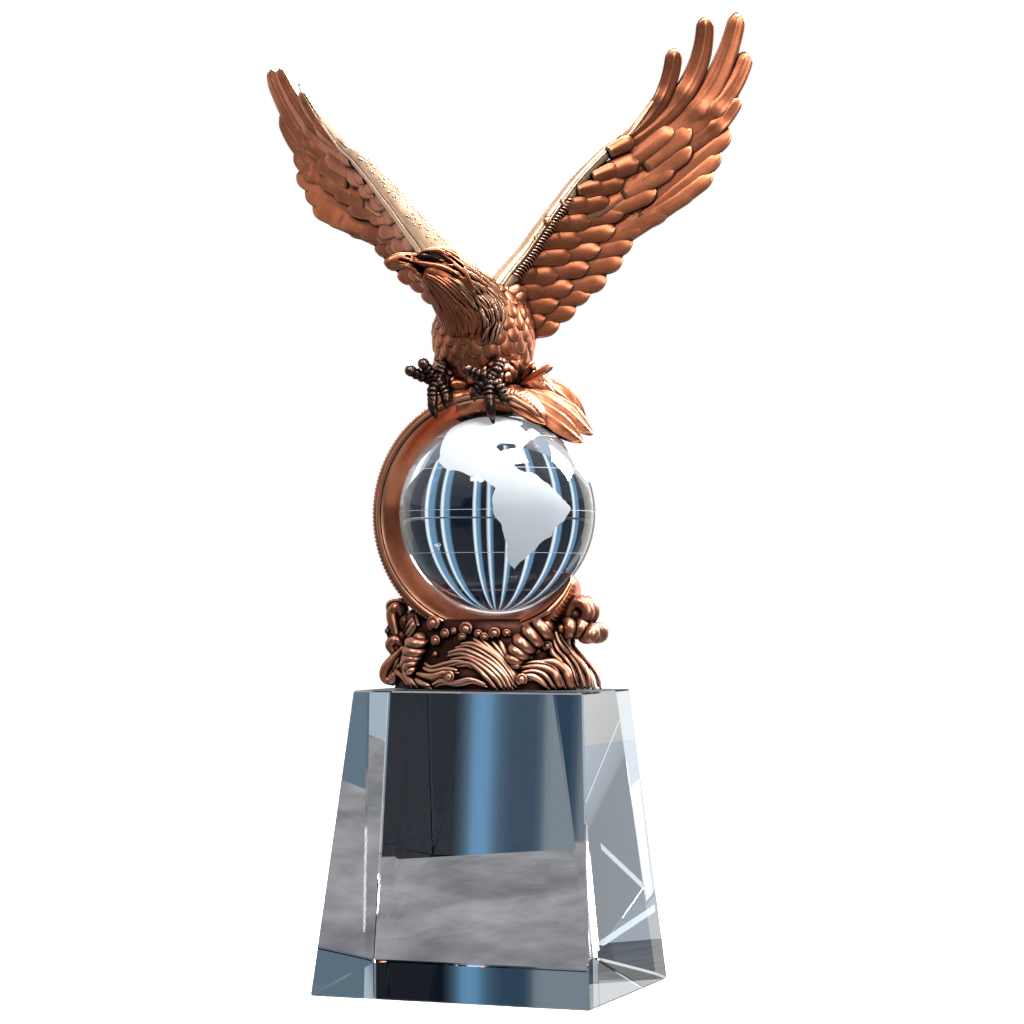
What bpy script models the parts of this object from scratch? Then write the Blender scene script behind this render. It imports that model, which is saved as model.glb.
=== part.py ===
"""Eagle trophy: a cast copper eagle on a crescent that cradles a crystal globe, on a crystal plinth.

Metres, +Z up. The origin is the middle of the plinth's underside, and the front of the plinth faces -Y.
Three pieces: the plinth, the globe and one casting (waves, crescent, perch, eagle).
"""
import math

import bmesh
import bpy
from mathutils import Matrix, Vector

MM = 0.001

# Plinth: a tapered block of crystal
PLINTH_BASE_X = 88.0 * MM
PLINTH_BASE_Y = 77.0 * MM
PLINTH_TOP_X = 73.5 * MM
PLINTH_TOP_Y = 46.0 * MM
PLINTH_HEIGHT = 90.3 * MM
PLINTH_BEVEL = 0.9 * MM

# Globe: a crystal ball held in the crescent
GLOBE_DIAMETER = 60.0 * MM
GLOBE_CLEARANCE = 0.35 * MM
POCKET_CLEARANCE = 0.6 * MM      # all round the globe, where the finished casting is cut away for it
GLOBE_SIDES = 28
GLOBE_RINGS = 16

# Crescent: a C-shaped ring about the globe, open to the right
CRESCENT_LIP = 4.6 * MM          # from the globe's surface out to the crescent's front edge
CRESCENT_RIM = 2.1 * MM          # the narrow flat band on the front edge
CRESCENT_WALL = 9.5 * MM         # from the globe's surface out to the crescent's back
CRESCENT_DEPTH = 19.0 * MM       # front to back
CRESCENT_LOW_END = math.radians(-36)
CRESCENT_HIGH_END = math.radians(52)
CRESCENT_STEPS = 40

# Casting on the plinth
SEAT_CLEARANCE = 0.3 * MM
WAVES_WIDTH = 67.0 * MM
WAVES_DEPTH = 38.0 * MM
WAVES_HEIGHT = 23.7 * MM         # from the plinth to the globe's lowest point
WAVES_SHIFT = -1.6 * MM

# Eagle: its own height drives its shape
EAGLE_HEIGHT = 124.0 * MM        # from the globe's top to the highest feather

# Surface of the casting
GRAIN = 0.62 * MM
FACES_IN_CASTING = 7900

PLINTH_SEAT = PLINTH_HEIGHT + SEAT_CLEARANCE
GLOBE_RADIUS = GLOBE_DIAMETER / 2
GLOBE_CENTRE = Vector((1.0 * MM, 0.0, PLINTH_HEIGHT + WAVES_HEIGHT + GLOBE_RADIUS))
GLOBE_TOP = GLOBE_CENTRE.z + GLOBE_RADIUS

# The eagle is drawn from the middle of the globe's top in steps of which it is 124 high
STEPS_HIGH = 124
STEP = EAGLE_HEIGHT / STEPS_HIGH
RIGHT_SHOULDER = (5.2, 1.5, 43.3)
LEFT_SHOULDER = (-21.0, 1.0, 52.2)
HEAD_PLACE = (-11.8, -22.0, 46.0)


def clear_scene():
    for item in list(bpy.data.objects):
        bpy.data.objects.remove(item, do_unlink=True)


def finish(name, colour, roughness, metallic, transmission=0.0):
    """Make a plain Principled material."""
    material = bpy.data.materials.new(name)
    material.use_nodes = True
    shader = material.node_tree.nodes["Principled BSDF"]
    shader.inputs["Base Color"].default_value = (*colour, 1.0)
    shader.inputs["Roughness"].default_value = roughness
    shader.inputs["Metallic"].default_value = metallic
    shader.inputs["Transmission Weight"].default_value = transmission
    material.diffuse_color = (*colour, 1.0)
    return material


def add_object(name, mesh, material):
    item = bpy.data.objects.new(name, mesh)
    bpy.context.scene.collection.objects.link(item)
    mesh.materials.clear()
    mesh.materials.append(material)
    return item


def eagle_point(x, y, z):
    """A place on the eagle, from drawn steps above the globe's top."""
    return Vector((0.0, 0.0, GLOBE_TOP)) + Vector((x, y, z)) * STEP


class Forms:
    """Closed forms that overlap, gathered into one mesh before they are cast as one body."""

    def __init__(self):
        self.bm = bmesh.new()

    def loft(self, rings):
        """Skin a closed form over rings of points, with a flat cap at each end."""
        rows = [[self.bm.verts.new(point) for point in ring] for ring in rings]
        count = len(rows[0])
        faces = []
        for row, following in zip(rows, rows[1:]):
            for i in range(count):
                j = (i + 1) % count
                faces.append(self.bm.faces.new((row[i], row[j], following[j], following[i])))
        faces.append(self.bm.faces.new(list(reversed(rows[0]))))
        faces.append(self.bm.faces.new(rows[-1]))
        bmesh.ops.recalc_face_normals(self.bm, faces=faces)

    def tube(self, path, radii, sides=8, flat=1.0, across=None):
        """A round-ended tube along a path; flat squeezes it along the across direction."""
        rings = []
        count = len(path)
        for i, centre in enumerate(path):
            ahead = path[min(i + 1, count - 1)] - path[max(i - 1, 0)]
            ahead.normalize()
            side = across if across else Vector((0.13, -0.97, 0.21))
            u = (side - ahead * side.dot(ahead)).normalized()
            v = ahead.cross(u)
            scales = [(0.0, 1.0)]
            if i == 0:
                scales = [(-0.95, 0.3), (-0.55, 0.82), (0.0, 1.0)]
            if i == count - 1:
                scales = [(0.0, 1.0), (0.55, 0.82), (0.95, 0.3)]
            for shift, size in scales:
                ring = []
                for k in range(sides):
                    turn = 2 * math.pi * k / sides
                    radius = radii[i] * size
                    middle = centre + ahead * radii[i] * shift
                    ring.append(middle + u * radius * flat * math.cos(turn) + v * radius * math.sin(turn))
                rings.append(ring)
        self.loft(rings)

    def ball(self, centre, radius, stretch=(1.0, 1.0, 1.0), turn=None, fine=2):
        """An ellipsoid."""
        place = Matrix.Translation(centre)
        if turn:
            place = place @ turn.to_4x4()
        place = place @ Matrix.Diagonal((*[radius * s for s in stretch], 1.0))
        bmesh.ops.create_icosphere(self.bm, subdivisions=fine, radius=1.0, matrix=place)


def blend_points(points, count):
    """Points on a smooth curve through the given ones."""
    out = []
    spans = len(points) - 1
    for i in range(count):
        t = i / (count - 1) * spans
        k = min(int(t), spans - 1)
        f = t - k
        a = points[max(k - 1, 0)]
        b = points[k]
        c = points[k + 1]
        d = points[min(k + 2, spans)]
        out.append(0.5 * ((2 * b) + (c - a) * f + (2 * a - 5 * b + 4 * c - d) * f * f
                          + (3 * b - a - 3 * c + d) * f ** 3))
    return out


def blend_values(values, count):
    """Numbers read along a list at even steps."""
    out = []
    for i in range(count):
        t = i / (count - 1) * (len(values) - 1)
        k = min(int(t), len(values) - 2)
        out.append(values[k] + (values[k + 1] - values[k]) * (t - k))
    return out


# Wing: drawn on a chart in the eagle's steps, right and up from the shoulder, then bent to its depth

WING_TURN = math.radians(21)
WING_ALONG = (0.653, 0.757)
WING_LEADING = [(0, 1), (4.5, 6.5), (9.5, 13.8), (15, 21.5), (21, 29.5), (29, 38), (36, 43.5),
                (41, 50), (46, 58)]
WING_ARM_RADII = [3.6, 3.3, 3.0, 2.7, 2.4, 2.1, 1.7, 1.3, 1.0]
FLIGHT_TIPS = [(7.5, -18), (15, -13), (20, -8.5), (24.5, -3.5), (29.5, 0.5), (34.5, 6.5), (37.5, 12),
               (41, 17.5), (48.5, 22.5), (56.5, 29), (61.5, 33.5), (64, 39.5), (67, 46)]
FINGERS = [((69.5, 56), (62.5, 42)), ((72.5, 69.5), (66.2, 47.7)), ((70, 81.5), (63, 46)),
           ((59.5, 79.5), (60.7, 55.7)), ((50, 69.5), (49, 51))]
COVERT_TIPS = [(10.5, -11.5), (14.5, -6.5), (19, -1.5), (24, 4.5), (27.5, 10), (32, 16), (35, 22),
               (44.5, 28), (50, 35.5), (55, 41), (55, 46.5), (49.5, 46.5)]
INNER_TIPS = [(10.5, -3), (14.5, 1.5), (18.5, 7.5), (21.5, 12.5), (24.5, 18), (30, 24.5), (34.5, 30.5),
              (39, 36.5)]
WRIST = (33, 38)
FEATHER_WIDTH = 6.4
FINGER_WIDTH = 5.4
FLIGHT_REACH = 24
FLIGHT_REACH_GAIN = 9            # how much longer the flight feathers are past the elbow
EDGE_REACH = 13
COVERT_REACH = 15
INNER_REACH = 9


def wing_depth(u, v):
    """How far the wing's middle surface lies behind its chart."""
    along = (WING_ALONG[0] * u + WING_ALONG[1] * v) / 100
    across = (WING_ALONG[1] * u - WING_ALONG[0] * v) / 30
    return -0.2 + 4.7 * along + 22 * across - 13 * along * across - 2.4 * along ** 2 - 13.3 * across ** 2


def quill_angle(tip):
    """The way a feather points on the chart: almost level by the body, steep at the wing's end."""
    along = WING_ALONG[0] * tip[0] + WING_ALONG[1] * tip[1]
    return math.radians(10 + 30 * max(0.0, min(1.0, (along - 30) / 40)))


class Wing:
    """Puts chart points into space on the right or the left wing."""

    def __init__(self, shoulder, left=False, turn=None):
        self.shoulder = shoulder
        self.left = left
        self.turn = turn if turn else Matrix.Identity(3)

    def place(self, u, v, proud=0.0):
        w = wing_depth(u, v) + proud
        x = u * math.cos(WING_TURN) - w * math.sin(WING_TURN)
        y = u * math.sin(WING_TURN) + w * math.cos(WING_TURN)
        if self.left:
            x = -x
        return self.shoulder + self.turn @ Vector((x, y, v)) * STEP


def back_along(tip, reach):
    """The root of a feather that ends at the tip."""
    angle = quill_angle(tip)
    return (tip[0] - reach * math.cos(angle), tip[1] - reach * math.sin(angle))


def feather(forms, wing, root, tip, width, thick, proud, knee=None, stations=7, sides=8, base=1.0):
    """A feather with a round tip, lying in the wing's surface; base is how much wider it is at its root."""
    root = Vector(root)
    tip = Vector(tip)
    knee = Vector(knee) if knee else (root + tip) / 2
    rings = []
    for i in range(stations):
        t = 0.5 - 0.5 * math.cos(math.pi * i / (stations - 1))
        t = 0.004 + 0.992 * t
        centre = root * (1 - t) ** 2 + knee * 2 * t * (1 - t) + tip * t * t
        ahead = ((knee - root) * (1 - t) + (tip - knee) * t).normalized()
        side = Vector((-ahead.y, ahead.x))
        reach = (tip - root).length
        from_tip = (1 - t) * reach / (width * 0.62)
        half = width / 2 * math.sqrt(max(0.02, 1 - max(0.0, 1 - from_tip) ** 2))
        half *= 0.72 + 0.28 * math.sin(math.pi * min(1.0, t * 1.25) / 2)
        half *= 1 + (base - 1) * (1 - t)
        deep = thick / 2 * min(1.0, 0.45 + 0.55 * half / (width / 2))
        ring = []
        for k in range(sides):
            turn = 2 * math.pi * k / sides
            spot = centre + side * half * math.cos(turn)
            ring.append(wing.place(spot.x, spot.y, proud + deep * math.sin(turn)))
        rings.append(ring)
    forms.loft(rings)


def wing_forms(forms, wing):
    """The arm, the flight feathers, the open fingers and two rows of coverts on each face."""
    arm = [Vector(wing.place(u, v)) for u, v in WING_LEADING]
    forms.tube(blend_points(arm, 16), scaled(blend_values(WING_ARM_RADII, 16)), sides=10)
    joint = [eagle_point(-7, 4, 33), wing.place(-2, -5), wing.place(3, -2)]
    forms.tube(blend_points(joint, 6), scaled(blend_values((9.0, 7.2, 4.4), 6)), sides=12)
    for tip in FLIGHT_TIPS:
        reach = FLIGHT_REACH + FLIGHT_REACH_GAIN * min(1.0, max(0.0, tip[0] - 25) / 15)
        feather(forms, wing, back_along(tip, reach), tip, FEATHER_WIDTH + 1.0, 2.0, 0.0)
    for i, (tip, knee) in enumerate(FINGERS):
        root = (WRIST[0] + 6 - i, WRIST[1] + 1.2 * i)
        feather(forms, wing, root, tip, FINGER_WIDTH, 2.4, 0.15 * i, knee, stations=10, base=2.1)
    feather(forms, wing, (24, 24), (56, 43), 14, 2.6, 0.0)
    for spot in blend_points([Vector(p) for p in WING_LEADING], 14)[:-2]:
        feather(forms, wing, spot, back_along(spot, -EDGE_REACH), FEATHER_WIDTH + 0.6, 3.2, 0.0)
    for proud in (-1.0, 1.0):
        for tip in COVERT_TIPS:
            feather(forms, wing, back_along(tip, COVERT_REACH), tip, FEATHER_WIDTH, 1.8, proud)
        for tip in INNER_TIPS:
            feather(forms, wing, back_along(tip, INNER_REACH), tip, FEATHER_WIDTH - 0.6, 2.0, 1.8 * proud)


def scaled(values):
    """Lengths in metres, from the eagle's drawn steps."""
    return [value * STEP for value in values]


# Eagle's body, in steps from the globe's top

TORSO = [(-6, 7, 8), (-5, 5, 14), (-4.5, 3, 22), (-5, 2, 31), (-6.5, 2, 37.5), (-7, 3, 41)]
TORSO_RADII = [6.5, 11.5, 14.2, 13.8, 10.0, 5.0]
NECK = [(-4, -1, 22), (-6, -5, 30), (-8, -10.5, 37), (-10.5, -17, 42.5), (-12, -21, 45.5)]
NECK_RADII = [10.0, 11.8, 9.6, 6.6, 5.4]


def body_forms(forms):
    """Torso, neck, head, hackles, legs and tail."""
    torso = [eagle_point(*p) for p in TORSO]
    forms.tube(blend_points(torso, 14), scaled(blend_values(TORSO_RADII, 14)), sides=16)
    neck = [eagle_point(*p) for p in NECK]
    forms.tube(blend_points(neck, 12), scaled(blend_values(NECK_RADII, 12)), sides=14)
    head_forms(forms, eagle_point(*HEAD_PLACE))
    hackle_forms(forms)
    flank_forms(forms)
    tail_forms(forms)
    leg_forms(forms, eagle_point(-13.5, -3, 13), eagle_point(-14.6, -10, 10.6))
    leg_forms(forms, eagle_point(2.5, -3, 14), eagle_point(3.6, -11, 10.6))


def head_forms(forms, centre):
    """Skull, brow and hooked beak, looking to the eagle's right."""
    look = Vector((-0.86, -0.50, -0.06)).normalized() * STEP
    up = Vector((0, 0, STEP))
    out = look.cross(up).normalized() * STEP
    skull = [centre - look * 5, centre, centre + look * 4.2, centre + look * 6.6]
    forms.tube(blend_points(skull, 8), scaled(blend_values((4.6, 5.4, 4.2, 3.0), 8)), sides=12)
    beak = [centre + look * a + up * b
            for a, b in ((5.4, 0.7), (8.0, 0.8), (10.6, 0.2), (12.3, -0.9), (12.9, -2.6))]
    forms.tube(blend_points(beak, 9), scaled(blend_values((2.6, 2.1, 1.7, 1.2, 0.6), 9)), sides=10)
    jaw = [centre + look * 2 - up * 2.6, centre + look * 8.6 - up * 2.0]
    forms.tube(blend_points(jaw, 5), scaled(blend_values((1.9, 1.0), 5)), sides=8)
    for side in (-1, 1):
        brow = [centre + look * a + up * b + out * c * side
                for a, b, c in ((-2.5, 3.1, 4.0), (1.0, 3.0, 4.0), (4.4, 2.2, 2.7))]
        forms.tube(blend_points(brow, 5), scaled([0.9] * 5), sides=6)


def hackle_forms(forms):
    """Long pointed neck feathers that fan over the breast and shoulders."""
    count = 15
    for i in range(count):
        turn = math.radians(-150 + 300 * i / (count - 1))
        out = Vector((math.sin(turn) * 0.8, -math.cos(turn) * 0.8, 0.25 * math.cos(turn))) * STEP
        top = eagle_point(-10.5, -17, 42.5) + out * 6.2
        mid = eagle_point(-7.5, -9.5, 36) + out * 10.6
        end = eagle_point(-4.5, -3, 23 + 3 * (i % 2)) + out * 13.6
        forms.tube(blend_points([top, mid, end], 8), scaled(blend_values((0.9, 1.5, 1.6, 0.6), 8)), sides=6)


def flank_forms(forms):
    """Rows of broad body feathers, lapped like tiles."""
    rows = 6
    count = 12
    centres = blend_points([Vector(p) for p in TORSO], 11)
    girths = blend_values(TORSO_RADII, 11)
    for row in range(rows):
        size = 3.6 - 0.5 * row / (rows - 1)
        for k in range(count):
            turn = 2 * math.pi * (k + 0.5 * (row % 2)) / count
            out = Vector((math.cos(turn), math.sin(turn), 0)) * STEP
            spot = eagle_point(*centres[2 + row]) + out * (girths[2 + row] + 0.2)
            lean = Matrix.Rotation(turn, 3, "Z") @ Matrix.Rotation(math.radians(16), 3, "Y")
            forms.ball(spot, size * STEP, (0.34, 0.85, 1.3), lean, fine=2)


def tail_forms(forms):
    """A short fan of tail feathers, back and to the right over the crescent."""
    root = eagle_point(1, 8, 13)
    for i in range(5):
        tip = eagle_point(25.5 - 2.2 * i, 19 + 3.4 * i, -4.5 + 0.5 * i)
        path = blend_points([root, (root + tip) / 2 + Vector((0, 0, 2.0)) * STEP, tip], 9)
        forms.tube(path, scaled(blend_values((3.4, 3.6, 3.4, 1.6), 9)), sides=8, flat=0.42,
                   across=Vector((-0.25, -0.2, 1)))
    for end in ((17, 0, 18), (19, -4, 15)):
        path = blend_points([eagle_point(6, 2, 14), eagle_point(12, 0, 14.5), eagle_point(*end)], 7)
        forms.tube(path, scaled(blend_values((2.6, 2.4, 0.7), 7)), sides=8, flat=0.6)


# Which way each toe points from the ankle, and how far it reaches
TOES = [((-0.75, -0.5, 0.4), 8.0), ((-0.1, -0.6, 0.75), 5.5), ((0.05, -0.3, -0.95), 11.5),
        ((0.4, -0.2, -0.85), 8.0)]


def leg_forms(forms, knee, ankle):
    """A feathered thigh and a foot with four toes that grip or lift."""
    thigh = [knee + Vector((0, 0, 5)) * STEP, knee, ankle]
    forms.tube(thigh, scaled((5.6, 4.2, 2.3)), sides=10)
    for way, reach in TOES:
        toe = [ankle, ankle + Vector(way) * (0.6 * reach * STEP), ankle + Vector(way) * (reach * STEP)]
        forms.tube(blend_points(toe, 6), scaled(blend_values((2.1, 1.7, 0.7), 6)), sides=8)


# Crescent, perch and waves

def ring_point(angle, radius, y):
    return GLOBE_CENTRE + Vector((radius * math.cos(angle), y, radius * math.sin(angle)))


def crescent_forms(forms):
    """A ring of curved section that thins to a tip at its low end."""
    inner = GLOBE_RADIUS + GLOBE_CLEARANCE
    lip = GLOBE_RADIUS + CRESCENT_LIP
    outer = GLOBE_RADIUS + CRESCENT_WALL
    half = CRESCENT_DEPTH / 2
    rim = lip + CRESCENT_RIM
    flare = inner + 0.33 * (lip - inner)
    profile = [(inner + 0.3 * MM, 0.0), (flare, -half * 0.55), (lip, -half), (rim, -half),
               (outer, -half * 0.45), (outer, half * 0.45), (rim, half), (lip, half),
               (flare, half * 0.55)]
    start = 2 * math.pi + CRESCENT_LOW_END
    rings = []
    for i in range(CRESCENT_STEPS + 1):
        t = i / CRESCENT_STEPS
        angle = start + (CRESCENT_HIGH_END - start) * t
        taper = min(1.0, 0.25 + 0.75 * math.sqrt(min(1.0, t / 0.14)))
        ring = []
        for radius, y in profile:
            ring.append(ring_point(angle, inner + (radius - inner) * taper, y * taper))
        rings.append(ring)
    forms.loft(rings)


def perch_forms(forms):
    """The rough stone under the eagle's feet, on the crescent's top."""
    for x, y, z, radius, stretch in ((-9, -1, 4, 9.5, (1.15, 0.95, 0.62)), (1, 0, 5, 9.5, (1.1, 0.95, 0.62)),
                                     (-5, 5, 8, 8, (1.2, 0.8, 0.7)), (-7, -6, 5.5, 5, (1.3, 0.8, 0.8))):
        forms.ball(eagle_point(x, y, z), radius * STEP, stretch)


def scroll(forms, centre, radius, thick, turns, face, start=0.0, rise=0.0):
    """A spiral curl, wound in to its middle on a solid boss."""
    forms.ball(centre - face * thick, radius)
    u = Vector((1, 0, 0)) if abs(face.x) < 0.8 else Vector((0, 1, 0))
    u = (u - face * u.dot(face)).normalized()
    v = face.cross(u)
    path = []
    widths = []
    steps = int(11 * turns) + 3
    for i in range(steps):
        t = i / (steps - 1)
        angle = start + 2 * math.pi * turns * t
        reach = radius * (1 - 0.78 * t)
        path.append(centre + u * reach * math.cos(angle) + v * reach * math.sin(angle) + face * rise * t)
        widths.append(thick * (1 - 0.35 * t))
    forms.tube(path, widths, sides=7, across=face)


# Share of the waves' height, and how wide and deep they are there as shares of the whole
WAVES_SHAPE = [(0.0, 0.95, 0.97), (0.18, 0.92, 0.94), (0.4, 0.83, 0.80), (0.62, 0.80, 0.72),
               (0.82, 0.80, 0.62), (0.98, 0.72, 0.5), (1.12, 0.6, 0.36)]


def waves_point(x, level, side, proud=0.0):
    """A place on the skin of the waves: x is in metres from their middle, side -1 is the front."""
    level = max(0.0, min(1.12, level))
    for low, high in zip(WAVES_SHAPE, WAVES_SHAPE[1:]):
        if low[0] <= level <= high[0]:
            t = (level - low[0]) / (high[0] - low[0])
            wide = low[1] + (high[1] - low[1]) * t
            deep = low[2] + (high[2] - low[2]) * t
            break
    share = max(-0.98, min(0.98, x / (WAVES_WIDTH / 2 * wide)))
    y = WAVES_DEPTH / 2 * deep * math.sqrt(1 - share * share) + proud
    return Vector((WAVES_SHIFT + x, side * y, PLINTH_SEAT + WAVES_HEIGHT * level))


def wave_body(forms):
    rings = []
    for level, wide, deep in [(-0.05, 0.94, 0.96)] + WAVES_SHAPE:
        ring = []
        for k in range(28):
            turn = 2 * math.pi * k / 28
            ring.append(Vector((WAVES_SHIFT + WAVES_WIDTH / 2 * wide * math.cos(turn),
                                WAVES_DEPTH / 2 * deep * math.sin(turn), PLINTH_SEAT + WAVES_HEIGHT * level)))
        rings.append(ring)
    forms.loft(rings)


def shell(forms, start, end, level_start, level_end, big, side, rings=6):
    """A rolled crest: swelling rings that shrink to a point."""
    for j in range(rings):
        t = j / (rings - 1)
        spot = waves_point(start + (end - start) * t, level_start + (level_end - level_start) * t, side, 0.3 * big)
        forms.ball(spot, big * (1 - 0.45 * t), (0.72, 1.0, 1.0), Matrix.Rotation(0.7, 3, "Y"), fine=2)


def wave_forms(forms):
    """The heap of waves between the plinth and the crescent."""
    wave_body(forms)
    half = WAVES_WIDTH / 2
    for side in (-1, 1):
        for level, x, size in ((0.13, -0.90, 3.2), (0.58, -0.80, 2.9), (0.98, -0.80, 3.1),
                               (0.35, -0.52, 3.6), (0.62, -0.62, 3.0), (0.14, -0.40, 2.0),
                               (0.14, 0.62, 2.4), (1.02, 0.86, 3.0)):
            centre = waves_point(half * x, level, side, 0.2 * MM)
            face = Vector((0.35 * x, side, 0.05)).normalized()
            scroll(forms, centre, size * MM, 0.48 * size * MM, 1.25, face, start=math.pi * (0.5 + x))
        shell(forms, half * 0.76, half * 0.36, 0.84, 0.36, 5.0 * MM, side)
        shell(forms, half * 0.70, half * 0.98, 0.80, 0.66, 3.3 * MM, side, rings=5)
        shell(forms, half * -0.45, half * -0.72, 0.78, 0.30, 3.4 * MM, side, rings=5)
        count = 15
        for i in range(count):
            spread = -0.78 + 1.6 * i / (count - 1)
            path = []
            for level in (0.80, 0.58, 0.36, 0.18, 0.03):
                bend = 0.55 + 0.45 * (0.8 - level) / 0.8
                drift = 0.16 * math.sin(math.pi * (0.8 - level) / 0.8) - 0.06
                path.append(waves_point(half * (spread * bend + drift), level, side, 0.35 * MM))
            widths = [radius * MM for radius in blend_values((0.8, 1.25, 1.35, 0.9), 9)]
            forms.tube(blend_points(path, 9), widths, sides=6)
        for i in range(10):
            x = half * (-0.56 + 0.72 * i / 9)
            spot = waves_point(x, 0.74 + 0.07 * math.sin(2.4 * i), side, 1.0 * MM)
            forms.ball(spot, (1.55 + 0.45 * math.sin(5 * i)) * MM, fine=1)


def drop_crumbs(mesh, fewest=200):
    """Delete loose specks, so that one body is left."""
    bm = bmesh.new()
    bm.from_mesh(mesh)
    unseen = set(bm.verts)
    crumbs = []
    while unseen:
        island = [unseen.pop()]
        for vert in island:
            for edge in vert.link_edges:
                other = edge.other_vert(vert)
                if other in unseen:
                    unseen.remove(other)
                    island.append(other)
        if len(island) < fewest:
            crumbs.extend(island)
    bmesh.ops.delete(bm, geom=crumbs, context="VERTS")
    bm.to_mesh(mesh)
    bm.free()


def evaluated_mesh(item):
    depsgraph = bpy.context.evaluated_depsgraph_get()
    return bpy.data.meshes.new_from_object(item.evaluated_get(depsgraph))


def cast(forms, name, material):
    """Fuse the forms into one body, thin its faces, then cut its flat seat and the globe's pocket."""
    mesh = bpy.data.meshes.new(name)
    forms.bm.to_mesh(mesh)
    forms.bm.free()
    item = add_object(name, mesh, material)
    fuse = item.modifiers.new("fuse", "REMESH")
    fuse.mode = "VOXEL"
    fuse.voxel_size = GRAIN
    item.data = evaluated_mesh(item)
    drop_crumbs(item.data)
    item.modifiers.clear()
    thin = item.modifiers.new("thin", "DECIMATE")
    thin.ratio = FACES_IN_CASTING / (2 * len(item.data.polygons))
    item.data = evaluated_mesh(item)
    drop_crumbs(item.data)
    item.modifiers.clear()
    cut_with(item, "seat_cutter", seat_block(), material)
    cut_with(item, "globe_cutter", globe_mesh("globe_cutter", GLOBE_RADIUS + POCKET_CLEARANCE), material)


def cut_with(item, name, mesh, material):
    cutter = add_object(name, mesh, material)
    cutter.hide_render = True
    cutter.display_type = "WIRE"
    cut = item.modifiers.new(name, "BOOLEAN")
    cut.object = cutter
    cut.operation = "DIFFERENCE"


def seat_block():
    """Everything below the casting's flat seat."""
    block = bmesh.new()
    size = 0.2
    bmesh.ops.create_cube(block, size=size, matrix=Matrix.Translation((0, 0, PLINTH_SEAT - size / 2)))
    mesh = bpy.data.meshes.new("seat_cutter")
    block.to_mesh(mesh)
    block.free()
    return mesh


def globe_mesh(name, radius):
    ball = bmesh.new()
    bmesh.ops.create_uvsphere(ball, u_segments=GLOBE_SIDES, v_segments=GLOBE_RINGS, radius=radius,
                              matrix=Matrix.Translation(GLOBE_CENTRE))
    mesh = bpy.data.meshes.new(name)
    ball.to_mesh(mesh)
    ball.free()
    mesh.shade_smooth()
    return mesh


def make_plinth(material):
    """A tapered block with small flats ground on its edges."""
    block = bmesh.new()
    corners = []
    for z, wide, deep in ((0.0, PLINTH_BASE_X, PLINTH_BASE_Y), (PLINTH_HEIGHT, PLINTH_TOP_X, PLINTH_TOP_Y)):
        corners.append([block.verts.new((sx * wide / 2, sy * deep / 2, z))
                        for sx, sy in ((-1, -1), (1, -1), (1, 1), (-1, 1))])
    low, high = corners
    block.faces.new(list(reversed(low)))
    block.faces.new(high)
    for i in range(4):
        j = (i + 1) % 4
        block.faces.new((low[i], low[j], high[j], high[i]))
    mesh = bpy.data.meshes.new("plinth")
    block.to_mesh(mesh)
    block.free()
    item = add_object("plinth", mesh, material)
    edge = item.modifiers.new("ground_edges", "BEVEL")
    edge.width = PLINTH_BEVEL
    edge.segments = 1
    edge.limit_method = "NONE"
    return item


def main():
    clear_scene()
    crystal = finish("clear_crystal", (0.93, 0.96, 0.98), 0.02, 0.0, 1.0)
    ball_crystal = finish("globe_crystal", (0.90, 0.95, 0.98), 0.02, 0.0, 1.0)
    copper = finish("antique_copper", (0.42, 0.17, 0.09), 0.32, 1.0)
    make_plinth(crystal)
    add_object("globe", globe_mesh("globe", GLOBE_RADIUS), ball_crystal)
    forms = Forms()
    wave_forms(forms)
    crescent_forms(forms)
    perch_forms(forms)
    body_forms(forms)
    turn = Matrix.Rotation(math.radians(-12), 3, "Y") @ Matrix.Rotation(math.radians(-11), 3, "Z")
    wing_forms(forms, Wing(eagle_point(*RIGHT_SHOULDER)))
    wing_forms(forms, Wing(eagle_point(*LEFT_SHOULDER), left=True, turn=turn))
    cast(forms, "eagle_casting", copper)


main()
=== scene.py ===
"""Looks of the eagle trophy: a cast copper eagle on a crescent round a crystal globe, on a crystal plinth.

The eagle is drawn in millimetres above the middle of the globe's top and scaled to the frame's casting.
The crescent is drawn about the globe's centre, and the waves about the middle of the plinth's top.
"""

import math

import bmesh
import bpy
import numpy as np
from mathutils import Matrix, Vector, geometry


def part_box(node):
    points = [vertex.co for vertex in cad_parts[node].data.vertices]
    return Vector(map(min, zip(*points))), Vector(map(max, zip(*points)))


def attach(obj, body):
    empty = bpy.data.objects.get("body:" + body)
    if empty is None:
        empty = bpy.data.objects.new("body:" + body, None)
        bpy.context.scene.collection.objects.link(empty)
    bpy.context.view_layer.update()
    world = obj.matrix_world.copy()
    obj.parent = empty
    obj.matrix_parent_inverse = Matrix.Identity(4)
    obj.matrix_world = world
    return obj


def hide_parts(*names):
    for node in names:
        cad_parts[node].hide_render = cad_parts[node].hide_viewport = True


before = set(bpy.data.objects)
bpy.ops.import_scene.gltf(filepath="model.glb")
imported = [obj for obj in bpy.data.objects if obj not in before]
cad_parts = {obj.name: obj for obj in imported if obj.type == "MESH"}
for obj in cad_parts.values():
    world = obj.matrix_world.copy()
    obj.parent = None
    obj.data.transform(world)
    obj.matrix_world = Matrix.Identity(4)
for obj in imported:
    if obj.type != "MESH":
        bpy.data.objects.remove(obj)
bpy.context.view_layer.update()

MM = 0.001
GLOBE_LOW, GLOBE_HIGH = (np.array(corner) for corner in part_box("globe"))
CASTING_LOW, CASTING_HIGH = (np.array(corner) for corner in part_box("eagle_casting"))
GLOBE_RADIUS = (GLOBE_HIGH[2] - GLOBE_LOW[2]) / 2 / MM
GLOBE_CENTRE = (GLOBE_LOW + GLOBE_HIGH) / 2 / MM
GLOBE_TOP = GLOBE_HIGH[2] / MM
SEAT = CASTING_LOW[2] / MM
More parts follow.
